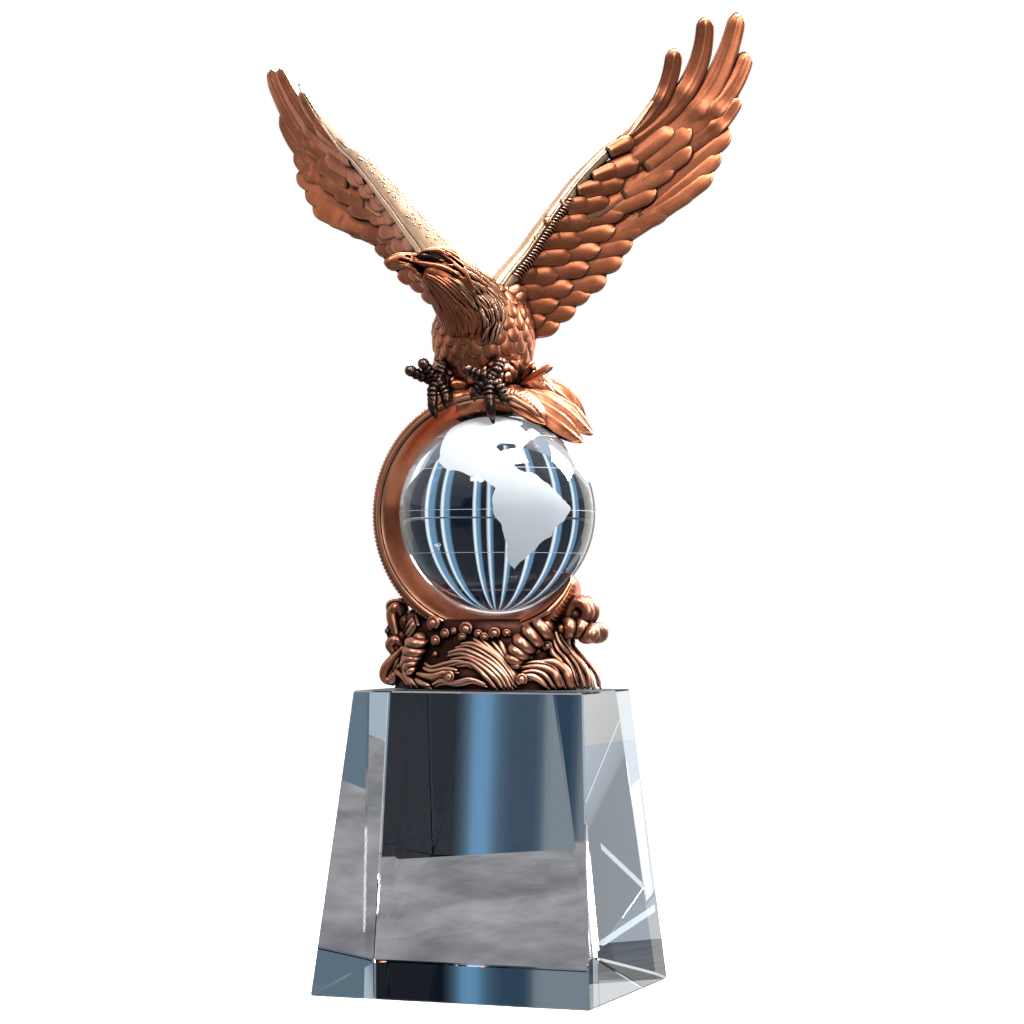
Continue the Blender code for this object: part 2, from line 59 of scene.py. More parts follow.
DRAWN_HEIGHT = 124.5               # drawn height of the eagle above the globe, to its highest feather
UNIT = (CASTING_HIGH[2] / MM - GLOBE_TOP) / DRAWN_HEIGHT

rng = np.random.RandomState(7)


# Curves and meshes

def unit(vectors):
    """The vectors, each made one long."""
    return vectors / np.maximum(np.linalg.norm(vectors, axis=-1, keepdims=True), 1e-9)


def spline(points, count):
    """Points at even steps on a smooth curve through the given ones."""
    points = np.asarray(points, float)
    flat = points.ndim == 1
    if flat:
        points = points[:, None]
    spans = len(points) - 1
    t = np.linspace(0, spans, count)
    k = np.minimum(t.astype(int), spans - 1)
    f = (t - k)[:, None]
    a = points[np.maximum(k - 1, 0)]
    b = points[k]
    c = points[k + 1]
    d = points[np.minimum(k + 2, spans)]
    curve = 0.5 * (2 * b + (c - a) * f + (2 * a - 5 * b + 4 * c - d) * f ** 2
                   + (3 * b - a - 3 * c + d) * f ** 3)
    return curve[:, 0] if flat else curve


def smooth_step(x):
    """From 0 to 1 with a soft start and end."""
    x = np.clip(x, 0, 1)
    return x * x * (3 - 2 * x)


def measured(path):
    """The length of a path, and how far along it each of its points lies."""
    steps = np.linalg.norm(np.diff(path, axis=0), axis=1)
    return steps.sum(), np.concatenate([[0], np.cumsum(steps)])


def read_along(values, shares, along):
    """Values given at the points of a path, read at places along it."""
    return np.stack([np.interp(along, shares, values[:, i]) for i in range(values.shape[1])], axis=-1)


def face_outward(mesh):
    """Turn the faces of closed forms outward and shade them smooth."""
    forms = bmesh.new()
    forms.from_mesh(mesh)
    bmesh.ops.recalc_face_normals(forms, faces=forms.faces)
    forms.to_mesh(mesh)
    forms.free()
    mesh.shade_smooth()


TUBE_END = ((0.5, 0.86), (0.82, 0.55), (0.97, 0.2))       # how far past a tube's end, and how wide, in radii


class Clay:
    """Closed forms gathered into one mesh, in millimetres."""

    def __init__(self):
        self.points = []
        self.quads = []
        self.caps = []
        self.count = 0

    def skin(self, rings, closed=False):
        """Skin a form over rings of points, with a cap at each end or closed into a ring."""
        rows, columns, _ = rings.shape
        index = self.count + np.arange(rows * columns).reshape(rows, columns)
        low, high = (index, np.roll(index, -1, 0)) if closed else (index[:-1], index[1:])
        quads = np.stack([low, np.roll(low, -1, 1), np.roll(high, -1, 1), high], axis=-1)
        self.quads.append(quads.reshape(-1, 4))
        if not closed:
            self.caps += [index[0][::-1].tolist(), index[-1].tolist()]
        self.points.append(rings.reshape(-1, 3))
        self.count += rows * columns

    def tube(self, path, radii, sides=10, flat=1.0, across=(0.13, -0.97, 0.21)):
        """A round-ended tube; flat squeezes it along the across direction."""
        path = np.asarray(path, float)
        radii = np.broadcast_to(np.asarray(radii, float), (len(path),))
        ahead = unit(np.gradient(path, axis=0))
        u = unit(across - ahead * (ahead @ np.asarray(across, float))[:, None])
        v = np.cross(ahead, u)
        turn = 2 * np.pi * np.arange(sides) / sides
        section = flat * u[:, None] * np.cos(turn)[:, None] + v[:, None] * np.sin(turn)[:, None]
        rings = path[:, None] + radii[:, None, None] * section
        first = [path[0] - ahead[0] * radii[0] * past + (rings[0] - path[0]) * wide
                 for past, wide in reversed(TUBE_END)]
        last = [path[-1] + ahead[-1] * radii[-1] * past + (rings[-1] - path[-1]) * wide
                for past, wide in TUBE_END]
        self.skin(np.concatenate([np.array(first), rings, np.array(last)]))

    def ball(self, centre, radii, turn=None, rings=10, sides=14):
        """An ellipsoid, or with one radius a ball."""
        angles = np.linspace(0.03, np.pi - 0.03, rings)[:, None]
        around = 2 * np.pi * np.arange(sides) / sides
        shape = np.stack([np.sin(angles) * np.cos(around), np.sin(angles) * np.sin(around),
                          np.cos(angles) * np.ones(sides)], axis=-1) * np.asarray(radii, float)
        if turn is not None:
            shape = shape @ np.array(turn).T
        self.skin(np.asarray(centre, float) + shape)

    def mesh(self, name, place=lambda points: points * MM):
        mesh = bpy.data.meshes.new(name)
        points = place(np.concatenate(self.points))
        mesh.from_pydata(points.tolist(), [], np.concatenate(self.quads).tolist() + self.caps)
        face_outward(mesh)
        return mesh


def on_eagle(points):
    """Drawn millimetres above the globe's top, in metres in the frame."""
    return (points * UNIT + np.array([0, 0, GLOBE_TOP])) * MM


def add_piece(name, mesh, material, node="eagle_casting"):
    """A piece of the looks with its material, attached to the root; it hides the frame's node that it replaces.
    """
    piece = bpy.data.objects.new(name, mesh)
    bpy.context.scene.collection.objects.link(piece)
    mesh.materials.clear()
    mesh.materials.append(material)
    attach(piece, "root")
    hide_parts(node)


def add_cast(name, clay, material):
    """A piece of the eagle, from its clay."""
    add_piece(name, clay.mesh(name, on_eagle), material)


def fused(clay, voxel, follow):
    """One skin over forms that overlap. follow() adds what comes after the fusing to the stand-in object."""
    raw = bpy.data.objects.new("raw", clay.mesh("raw"))
    bpy.context.scene.collection.objects.link(raw)
    fuse = raw.modifiers.new("fuse", "REMESH")
    fuse.mode = "VOXEL"
    fuse.voxel_size = voxel * MM
    follow(raw)
    mesh = bpy.data.meshes.new_from_object(raw.evaluated_get(bpy.context.evaluated_depsgraph_get()))
    bpy.data.objects.remove(raw)
    return mesh


def read_points(mesh, kind="co"):
    """The mesh's points, or its normals at them, as rows of an array."""
    values = np.zeros(len(mesh.vertices) * 3)
    mesh.vertices.foreach_get(kind, values)
    return values.reshape(-1, 3)


def write_points(mesh, points):
    """Move the mesh's points to new places."""
    mesh.vertices.foreach_set("co", points.ravel())
    mesh.update()
    mesh.shade_smooth()


# Materials

class Nodes:
    """A small helper that adds and links shader nodes."""

    def __init__(self, name):
        self.material = bpy.data.materials.new(name)
        self.material.use_nodes = True
        self.tree = self.material.node_tree
        self.shader = self.tree.nodes["Principled BSDF"]

    def add(self, kind, **values):
        node = self.tree.nodes.new(kind)
        for key, value in values.items():
            if key in node.inputs:
                node.inputs[key].default_value = value
            else:
                setattr(node, key, value)
        return node

    def link(self, source, target):
        self.tree.links.new(source, target)

    def plain(self, **values):
        """Set sockets of the shader to one value all over; an underscore stands for a space."""
        for key, value in values.items():
            self.shader.inputs[key.replace("_", " ")].default_value = value

    def crevices(self, reach, steps, alone):
        """How open the surface is, from 0 in the crevices narrower than the reach to 1."""
        hidden = self.add("ShaderNodeAmbientOcclusion", Distance=reach * MM, samples=8, only_local=alone)
        return self.ramp(hidden.outputs["AO"], greys(steps))

    def grain(self, place, scale, detail, rough, depth):
        """Fine noise that also roughens the surface a little."""
        noise = self.add("ShaderNodeTexNoise", Scale=scale, Detail=detail, Roughness=rough)
        self.link(place, noise.inputs["Vector"])
        bump = self.add("ShaderNodeBump", Strength=0.12, Distance=depth * MM)
        self.link(noise.outputs["Fac"], bump.inputs["Height"])
        self.link(bump.outputs["Normal"], self.shader.inputs["Normal"])
        return noise

    def ramp(self, source, stops):
        node = self.tree.nodes.new("ShaderNodeValToRGB")
        ramp = node.color_ramp
        ramp.elements[0].position, ramp.elements[0].color = stops[0][0], (*stops[0][1], 1)
        ramp.elements[1].position, ramp.elements[1].color = stops[-1][0], (*stops[-1][1], 1)
        for place, colour in stops[1:-1]:
            ramp.elements.new(place).color = (*colour, 1)
        self.link(source, node.inputs["Fac"])
        return node.outputs["Color"]

    def mix(self, share, first, second, blend="MIX"):
        node = self.tree.nodes.new("ShaderNodeMix")
        node.data_type = "RGBA"
        node.blend_type = blend
        colour_in = [socket for socket in node.inputs if socket.type == "RGBA"]
        for socket, value in ((node.inputs[0], share), (colour_in[0], first), (colour_in[1], second)):
            if isinstance(value, (float, int)):
                socket.default_value = value
            elif isinstance(value, tuple):
                socket.default_value = (*value, 1)
            else:
                self.link(value, socket)
        return [socket for socket in node.outputs if socket.type == "RGBA"][0]


def greys(steps):
    """Colour stops from places and grey values."""
    return [(place, (value, value, value)) for place, value in steps]


# How the crevices are found, for their patina and painted shade, and how the edges are found, for their wear
# and painted highlight
GROOVE_REACH = 0.75                                     # millimetres
OPEN_STEPS = ((0.42, 0.0), (0.66, 0.16), (0.84, 0.50), (0.98, 1.0))
GROOVE_STEPS = ((0.60, 0.0), (0.95, 1.0))
EDGE_STEPS = ((0.52, 0.0), (0.60, 0.9))


def copper_material(name, base, deep, wear_and_highlight, reach=2.2, shine=0.34, alone=False):
    """Plated copper, brown-red on the faces. Its crevices go black, partly the patina of the antiqued plating
    and partly painted shade where parts meet and overlap; its edges go pale, partly wear and partly a painted
    highlight.
    """
    n = Nodes(name)
    place = n.add("ShaderNodeTexCoord").outputs["Object"]
    cloud = n.add("ShaderNodeTexNoise", Scale=110.0, Detail=5.0, Roughness=0.65)
    n.link(place, cloud.inputs["Vector"])
    darker, lighter = (tuple(share * c for c in base) for share in (0.72, 1.14))
    tint = n.ramp(cloud.outputs["Fac"], [(0.34, darker), (0.66, lighter)])
    # The pale on the edges is partly wear and partly a painted highlight.
    edge = n.ramp(n.add("ShaderNodeNewGeometry").outputs["Pointiness"], greys(EDGE_STEPS))
    # The black in the crevices is partly patina and partly painted shade; the narrow groove reach paints shadow
    # lines where forms overlap.
    open_share = n.crevices(reach, OPEN_STEPS, alone)
    colour = n.mix(open_share, deep, n.mix(edge, tint, wear_and_highlight))
    colour = n.mix(n.crevices(GROOVE_REACH, GROOVE_STEPS, alone), deep, colour)
    n.link(colour, n.shader.inputs["Base Color"])
    speck = n.grain(place, 900.0, 3.0, 0.6, 0.06)
    rough = n.ramp(open_share, greys([(0.0, 0.7), (1.0, shine)]))
    n.link(n.mix(0.22, rough, speck.outputs["Color"], "SOFT_LIGHT"), n.shader.inputs["Roughness"])
    n.plain(Metallic=1.0)
    return n.material


def crystal_material(name):
    """Clear polished crystal."""
    n = Nodes(name)
    n.plain(Base_Color=(0.99, 0.995, 1.0, 1), Roughness=0.0, IOR=1.52, Transmission_Weight=1.0)
    return n.material


def frost_material(name):
    """Ground crystal: finely grained and a little see-through, with painted shade that makes it darker towards
    the bottom and paler towards the top.
    """
    n = Nodes(name)
    place = n.add("ShaderNodeTexCoord").outputs["Object"]
    split = n.add("ShaderNodeSeparateXYZ")
    n.link(place, split.inputs[0])
    # Painted shade: the colour runs from dark low on the globe to pale near its top.
    height = n.add("ShaderNodeMapRange")
    for end, share in (("From Min", -0.75), ("From Max", 0.95)):
        height.inputs[end].default_value = (GLOBE_CENTRE[2] + share * GLOBE_RADIUS) * MM
    n.link(split.outputs["Z"], height.inputs["Value"])
    shade = n.ramp(height.outputs["Result"], [(0.0, (0.15, 0.17, 0.19)), (0.45, (0.20, 0.22, 0.24)),
                                              (1.0, (0.60, 0.63, 0.66))])
    n.link(shade, n.shader.inputs["Base Color"])
    n.plain(Roughness=0.6, IOR=1.5, Transmission_Weight=0.25)
    n.grain(place, 1500.0, 2.0, 0.5, 0.03)
    return n.material


# Feathers, strands and the surfaces they lie on

class Wing:
    """Puts points of the wing's flat chart (right and up from the shoulder) on the right or the left wing."""

    def __init__(self, shoulder, left=False, turn=None):
        self.shoulder = np.array(shoulder, float)
        self.left = left
        self.turn = np.identity(3) if turn is None else np.array(turn)

    def place(self, chart, proud):
        u, v = chart[..., 0], chart[..., 1]
        w = wing_depth(u, v) + proud
        x = u * math.cos(WING_TURN) - w * math.sin(WING_TURN)
        y = u * math.sin(WING_TURN) + w * math.cos(WING_TURN)
        spots = np.stack([-x if self.left else x, y, v + 0 * w], axis=-1)
        return self.shoulder + spots @ self.turn.T


class Trunk:
    """A chart wrapped round a bent, swelling body: millimetres round it and along it."""

    def __init__(self, centres, radii, front, girth, flat=1.0, count=90):
        self.path = spline(centres, count)
        self.radii = spline(radii, count)
        self.length, self.shares = measured(self.path)
        ahead = unit(np.gradient(self.path, axis=0))
        front = np.asarray(front, float)
        self.u = unit(front - ahead * (ahead @ front)[:, None])
        self.v = np.cross(ahead, self.u)
        self.girth = girth
        self.flat = flat

    def place(self, chart, proud):
        turn = chart[..., 0] / self.girth
        along = np.clip(chart[..., 1], 0, self.length)
        radius = np.interp(along, self.shares, self.radii) + proud
        middle, ahead, aside = (read_along(values, self.shares, along)
                                for values in (self.path, self.u, self.v))
        out = np.cos(turn)[..., None] * ahead + self.flat * np.sin(turn)[..., None] * aside
        return middle + radius[..., None] * out

    def skin(self, clay, sides=64):
        """The plain body under the feathers."""
        along = np.linspace(0, self.length, len(self.path))
        turn = 2 * np.pi * np.arange(sides) / sides * self.girth
        chart = np.stack(np.meshgrid(turn, along), axis=-1)
        clay.skin(self.place(chart, np.zeros(chart.shape[:2])))


class Blade:
    """A chart along one free path: millimetres across it and along it, with its face to the normal."""

    def __init__(self, path, normal, count=40):
        self.path = spline(path, count)
        self.length, self.shares = measured(self.path)
        self.ahead = unit(np.gradient(self.path, axis=0))
        normal = np.asarray(normal, float)
        self.normal = unit(normal - self.ahead * (self.ahead @ normal)[:, None])
        self.side = np.cross(self.ahead, self.normal)

    def place(self, chart, proud):
        along = chart[..., 1]
        middle, aside, out = (read_along(values, self.shares, along)
                              for values in (self.path, self.side, self.normal))
        beyond = (along - np.clip(along, 0, self.length))[..., None] * self.ahead[-1]
        return middle + beyond + aside * chart[..., :1] + out * (proud + 0 * along)[..., None]


UNDERSIDE = 0.5                     # how far a feather's underside lies below its bed, in millimetres


def feather(clay, place, root, tip, width, knee=None, base=1.0, level=0.0, face=-1, thick=0.9, crown=0.7,
            rim=0.16, quill=0.22, shingle=0.35, barbs=0.0, point=0.0, stations=18, columns=15, lift=0.0,
            hump=None):
    """A cast feather: rounded tip, raised rim, crowned vane, quill ridge and, where asked, fine barbs.

    It lies on the surface that place() gives; level lifts it, and shingle tips it over the feather beside it.
    """
    root, tip = np.array(root, float), np.array(tip, float)
    knee = (root + tip) / 2 if knee is None else np.array(knee, float)
    q = np.linspace(0, 1, stations)
    t = 1 - (1 - q) ** 1.6
    t[0], t[-1] = 0.004, 0.9985
    t = t[:, None]
    centre = root * (1 - t) ** 2 + knee * 2 * t * (1 - t) + tip * t ** 2
    ahead = unit((knee - root) * (1 - t) + (tip - knee) * t)
    side = np.stack([-ahead[:, 1], ahead[:, 0]], axis=1)
    from_tip = (1 - t[:, 0]) * np.linalg.norm(tip - root)
    blunt = 1 - np.clip(1 - from_tip / (width * (0.55 + 0.9 * point)), 0, 1) ** (2 - 0.7 * point)
    half = np.maximum(width / 2 * np.maximum(blunt, 0.0) ** (0.5 if point == 0 else 0.75), 0.015)
    half *= 0.74 + 0.26 * np.sin(np.pi / 2 * np.minimum(1, 1.25 * t[:, 0]))
    half *= 1 + (base - 1) * (1 - t[:, 0])
    s = np.sin(np.pi / 2 * np.linspace(-1, 1, columns))
    inset = np.minimum(half[:, None] * (1 - np.abs(s)), from_tip[:, None] + 0.02)
    rise = thick * (1 - np.exp(-inset / 0.22))
    dome = crown * (1 - (1 - np.clip(inset / (width / 2), 0, 1)) ** 2)
    bead = rim * np.exp(-((inset - 0.42) / 0.26) ** 2)
    spine = quill * np.exp(-(s * half[:, None] / 0.32) ** 2) * smooth_step(from_tip / 2.5)[:, None]
    comb = barbs * np.sin(2 * np.pi * (from_tip[:, None] - 1.4 * np.abs(s) * half[:, None]) / 0.8)
    bend = 0.0 if hump is None else 0.55 * np.exp(-((from_tip[:, None] - hump) / 2.6) ** 2)
    bed = level + lift * t - shingle * s
    top = bed + rise + dome + bead + spine + comb + bend
    s_back = s[1:-1:2][::-1]
    below_back = (bed - UNDERSIDE)[:, 1:-1:2][:, ::-1]
    across = np.concatenate([s, s_back])
    heights = np.concatenate([top, below_back], axis=1)
    chart = centre[:, None] + side[:, None] * (half[:, None] * across)[:, :, None]
    clay.skin(place(chart, face * heights))


def strand(clay, place, path, width, thick, level=0.0, lift=0.4, stations=11, face=1):
    """A narrow pointed lock with a sharp ridge; its tip stands off the lock below."""
    path = spline(path, stations)
    ahead = unit(np.gradient(path, axis=0))
    side = np.stack([-ahead[:, 1], ahead[:, 0]], axis=1)
    t = np.linspace(0, 1, stations)
    half = width / 2 * np.maximum(0.06, np.sin(np.pi * np.clip(0.10 + 0.9 * t ** 0.85, 0, 1)) ** 0.7)
    s = np.array([-1, -0.6, -0.22, 0.22, 0.6, 1, 0.0])
    heights = np.array([0, 0.5, 1.0, 1.0, 0.5, 0, -0.6]) * thick
    swell = 0.35 + 0.65 * np.sin(np.pi * t ** 0.8)
    rise = level + lift * np.sin(np.pi * 0.5 * t)[:, None] + heights * swell[:, None]
    chart = path[:, None] + side[:, None] * (half[:, None] * s)[:, :, None]
    clay.skin(place(chart, face * rise))


# Wings

WING_TURN = math.radians(21)
WING_ALONG = (0.653, 0.757)
OUTWARD = np.array([-0.757, 0.653])
WRIST = (33, 38)

# Places on the wing's chart, in millimetres: u outward and v upward from the shoulder
WING_LEADING = [(0, 1), (4.5, 6.5), (9.5, 13.8), (15, 21.5), (21, 29.5), (29, 38), (36, 43.5), (41, 50),
                (46, 58)]
ARM_EDGE = [(-11, -14), (-5, -6), *WING_LEADING, (48.2, 64), (50.2, 70.3)]
ARM_RADII = [5.5, 4.3, 3.5, 3.2, 2.9, 2.7, 2.4, 2.1, 1.7, 1.3, 0.9, 0.75, 0.5]
FLIGHT_TIPS = [(7.5, -18), (15, -13), (20, -8.5), (24.5, -3.5), (29.5, 0.5), (34.5, 6.5), (37.5, 12),
               (41, 17.5), (48.5, 22.5), (56.5, 29), (61.5, 33.5), (64, 39.5), (67, 46)]
COVERT_TIPS = [(10.5, -11.5), (14.5, -6.5), (19, -1.5), (24, 4.5), (27.5, 10), (32, 16), (35, 22),
               (44.5, 28), (50, 35.5), (55, 41), (55, 46.5), (49.5, 46.5)]
INNER_TIPS = [(10.5, -3), (14.5, 1.5), (18.5, 7.5), (21.5, 12.5), (24.5, 18), (30, 24.5), (34.5, 30.5),
              (39, 36.5)]
LEAST_TIPS = [(6.5, -4.5), (8.5, 1.0), (12.5, 6.0), (16.0, 11.5), (19.0, 17.0), (24.0, 23.0), (28.5, 28.5),
              (33, 33.5), (37.5, 42.0)]

# The long outer feathers, each by its tip and the knee that it bends over
FINGERS = [((69.5, 56), (62.5, 42)), ((72.5, 69.5), (66.2, 47.7)), ((70, 81.5), (63, 46)),
           ((59.5, 79.5), (60.7, 55.7)), ((50, 69.5), (49, 51))]
LEFT_FINGERS = [((66.0, 53.5), (60, 41)), ((69.3, 67), (64.5, 47.7)), ((70, 81.5), (63, 46)),
                ((62.5, 79.5), (60.7, 55.7)), ((52, 68), (49, 51))]
HUMPS = (12.9, 21.5, 28.6, 24.6, 15.3)       # where each finger bends, back from its tip
FINGER_BASES = (2.2, 2.2, 2.0, 1.5, 0.9)

# The rows over the flight feathers: their tips, how far back they start, their width and their form
COVER_ROWS = (
    (COVERT_TIPS, 19, 8.4, dict(level=0.8, thick=0.75, crown=0.9, rim=0.08, quill=0.05, shingle=0.75)),
    (INNER_TIPS, 14, 7.4, dict(level=1.55, thick=0.7, crown=1.0, rim=0.05, quill=0.03, shingle=0.65)),
    (LEAST_TIPS, 9, 5.0, dict(level=2.2, thick=0.6, crown=0.8, rim=0.05, quill=0.03, shingle=0.4,
                              stations=16, columns=13)),
)


def wing_depth(u, v):
    """How far the wing's middle surface lies behind its chart."""
    along = (WING_ALONG[0] * u + WING_ALONG[1] * v) / 100
    across = (WING_ALONG[1] * u - WING_ALONG[0] * v) / 30
    return -0.2 + 4.7 * along + 22 * across - 13 * along * across - 2.4 * along ** 2 - 13.3 * across ** 2


def quill_angle(tip):
    """The way a feather points on the chart: almost level by the body, steep at the wing's end."""
    along = WING_ALONG[0] * tip[0] + WING_ALONG[1] * tip[1]
    return math.radians(10 + 30 * max(0.0, min(1.0, (along - 30) / 40)))


def back_along(tip, reach):
    """The root of a feather that reaches so far back from its tip."""
    angle = quill_angle(tip)
    return (tip[0] - reach * math.cos(angle), tip[1] - reach * math.sin(angle))


def wing_piece(name, wing, material, rubbed_and_highlit):
    """A wing with feathers on both faces, its arm in a paler copper (partly wear, partly a painted highlight),
    and the scaled joint at the shoulder.
    """
    clay = Clay()
    for face in (-1, 1):
        for tip in FLIGHT_TIPS:
            reach = 24 + 9 * min(1.0, max(0.0, tip[0] - 25) / 15)
            feather(clay, wing.place, back_along(tip, reach), tip, 8.8, level=-0.1, face=face, thick=0.75,
                    crown=0.8, rim=0.10, quill=0.10, shingle=0.65)
        if wing.left:
            for tip in FLIGHT_TIPS[:10]:
                feather(clay, wing.place, back_along(tip, 22), back_along(tip, 6.5), 8.2, level=0.35,
                        face=face, thick=0.75, crown=0.8, rim=0.08, quill=0.05, shingle=0.7)
        fingers, width = (LEFT_FINGERS, 7.8) if wing.left else (FINGERS, 5.6)
        for i, ((tip, knee), hump, base) in enumerate(zip(fingers, HUMPS, FINGER_BASES)):
            root = (WRIST[0] + 4 - i, WRIST[1] - 2 + 1.2 * i)
            feather(clay, wing.place, root, tip, width, knee, base=base, level=0.10 * i - 0.1, face=face,
                    thick=0.8, crown=0.9, quill=0.35, rim=0.15, shingle=0.5, stations=36, hump=hump)
        for tips, reach, width, form in COVER_ROWS:
            for tip in tips:
                feather(clay, wing.place, back_along(tip, reach), tip, width, face=face, **form)
    arm = Clay()
    arm_forms(arm, clay, wing)
    # The arm takes the paler copper: partly wear, partly a painted highlight.
    add_cast(name + "_arm", arm, rubbed_and_highlit)
    web = wing.place(np.array([(24.0, 24.0), (40.0, 34.0), (56.0, 43.0)]), np.zeros(3))
    clay.tube(spline(web, 20), [6.5] * 20, sides=16, flat=0.16, across=wing_normal(wing))
    girth = 5.0
    shoulder = [wing.place(np.array(spot), 0.0) for spot in ((-3.0, -8.0), (4.0, -4.0))]
    joint = Trunk([(-7, 4, 31), *shoulder], [9.0, 6.0, 3.0], (0, -1, 0), girth)
    joint.skin(clay, 32)
    for row in range(5):
        for k in range(9):
            x = 2 * np.pi * girth * (k + 0.5 * (row % 2) + rng.uniform(-0.1, 0.1)) / 9
            high = 4.0 + 3.0 * row
            feather(clay, joint.place, (x, high - 5.0), (x, min(high, joint.length - 0.5)), 4.6, level=-0.2,
                    face=1, thick=0.6, crown=0.6, rim=0.08, quill=0.08, shingle=0.0, lift=0.8, stations=14,
                    columns=11)
    add_cast(name, clay, material)


def wing_normal(wing):
    """The direction from the middle of the wing's back to its front."""
    spots = wing.place(np.array([(35.0, 25.0), (35.0, 25.0)]), np.array([1.0, -1.0]))
    return unit(spots[1] - spots[0])


ARM_GIRTH = 3.0
BARBS_BEFORE = (0.22, 0.75, 1.3, 1.8)                   # turns round the arm, in radians
BARBS_BEHIND = (-3.2, -3.7, -4.2, -4.7)


def arm_forms(clay, band, wing):
    """The arm along the leading edge, with two ridges and bands of fine barbs beside them.

    The left wing's arm is fuller and pebbled, and has no barbs in front.
    """
    edge = np.array(ARM_EDGE, float)
    radii = np.array(ARM_RADII)
    if wing.left:
        swell = np.linspace(1, 0, len(edge)) ** 1.3
        edge = edge + OUTWARD * (2.2 * swell)[:, None]
        radii = radii + 1.6 * swell
    arm = Trunk(wing.place(edge, np.zeros(len(edge))), radii, wing_normal(wing), ARM_GIRTH, count=120)
    arm.skin(clay, 28)
    inward = -1 if wing.left else 1
    along = np.linspace(1.0, arm.length - 1.0, 90)
    for turn in (0.05, -2.9):
        chart = np.stack([np.full(90, inward * turn * ARM_GIRTH), along], axis=-1)
        clay.tube(arm.place(chart, np.full(90, 0.0)), 0.42, sides=10)
    start = arm.length * 0.17
    for i in range(28):
        spot = start + 1.05 * i
        for turns in (BARBS_BEHIND,) if wing.left else (BARBS_BEFORE, BARBS_BEHIND):
            path = [(inward * turn * ARM_GIRTH, spot + 0.9 * math.sin(1.3 * k))
                    for k, turn in enumerate(turns)]
            strand(band, arm.place, path, 0.95, 0.60, level=0.0, lift=0.05, stations=7)
    if wing.left:
        for i in range(190):
            spot = rng.uniform(0.10, 0.60) * arm.length
            x = inward * ARM_GIRTH * rng.uniform(-2.6, -0.7)
            pebble(clay, arm, x, spot, -0.12, rng.uniform(0.25, 0.55))
        for i in range(26):
            spot = arm.length * (0.30 + 0.34 * i / 25) + rng.uniform(-0.3, 0.3)
            pebble(clay, arm, inward * 0.35, spot, 0.1, rng.uniform(0.25, 0.42))


def pebble(clay, arm, x, along, proud, size):
    """A small bead on the arm."""
    clay.ball(arm.place(np.array([x, along]), np.array(proud)), [size] * 3, rings=6, sides=8)


# Body, neck and head

TORSO = [(-6, 7, 8), (-5, 5, 14), (-4.5, 3, 22), (-5, 2, 31), (-6.5, 2, 37.5), (-7, 3, 41)]
TORSO_RADII = [6.5, 11.5, 13.9, 13.3, 9.6, 4.8]
HEAD = np.array([-11.8, -22.0, 46.0])
LOOK = unit(np.array([-0.86, -0.50, -0.06]))
UP = np.array([0, 0, 1.0])
OUT = unit(np.cross(LOOK, UP))


def head_point(ahead, above, side=0.0):
    """A place on the head, in millimetres ahead, above and to its left."""
    return HEAD + ahead * LOOK + above * UP - side * OUT


# The neck's middle line, ahead, above and to the left of the head's middle
NECK = [(2.6, -3.2, 0.6), (-0.8, -4.2, 0.0), (-5.0, -6.6, -2.0), (-9.0, -9.9, -5.6), (-12.9, -14.2, -8.6),
        (-16.0, -19.6, -10.4), (-17.4, -25.6, -10.4), (-16.8, -32.0, -9.6)]
NECK_RADII = [3.0, 5.4, 7.0, 8.5, 9.7, 9.5, 7.6, 3.4]


def torso_piece(material):
    """The body and the two thighs, covered in rows of scale feathers."""
    clay = Clay()
    girth, thigh_girth = 12.0, 4.2
    torso = Trunk(TORSO, TORSO_RADII, (1, 0, 0), girth)
    torso.skin(clay)
    for row in range(12):
        low = 1.0 + 2.9 * row
        for k in range(18):
            x = 2 * np.pi * girth * (k + 0.5 * (row % 2) + rng.uniform(-0.08, 0.08)) / 18
            tip = (x, max(0.6, low + rng.uniform(-0.4, 0.4)))
            feather(clay, torso.place, (x, tip[1] + 6.4), tip, 5.3, level=-0.2, face=1, thick=0.75, crown=0.7,
                    rim=0.06, quill=0.12, shingle=0.15, lift=1.1, stations=14, columns=11)
    for knee, ankle in (((-13.5, -3, 13), (-14.2, -9, 10.5)), ((2.5, -3.5, 14), (3.6, -10, 11))):
        thigh = Trunk([np.array(knee) + (1, 4, 6), knee, ankle], [6.0, 4.8, 2.6], (0, -1, 0), thigh_girth)
        thigh.skin(clay, 32)
        for row in range(4):
            for k in range(7):
                x = 2 * np.pi * thigh_girth * (k + 0.5 * (row % 2)) / 7
                low = min(thigh.length - 0.5, 5.0 + 2.9 * row)
                feather(clay, thigh.place, (x, low - 4.6), (x, low), 4.0, level=-0.1, face=1, thick=0.5,
                        crown=0.45, rim=0.06, quill=0.1, shingle=0.0, lift=0.6, stations=12, columns=9)
    add_cast("torso", clay, material)


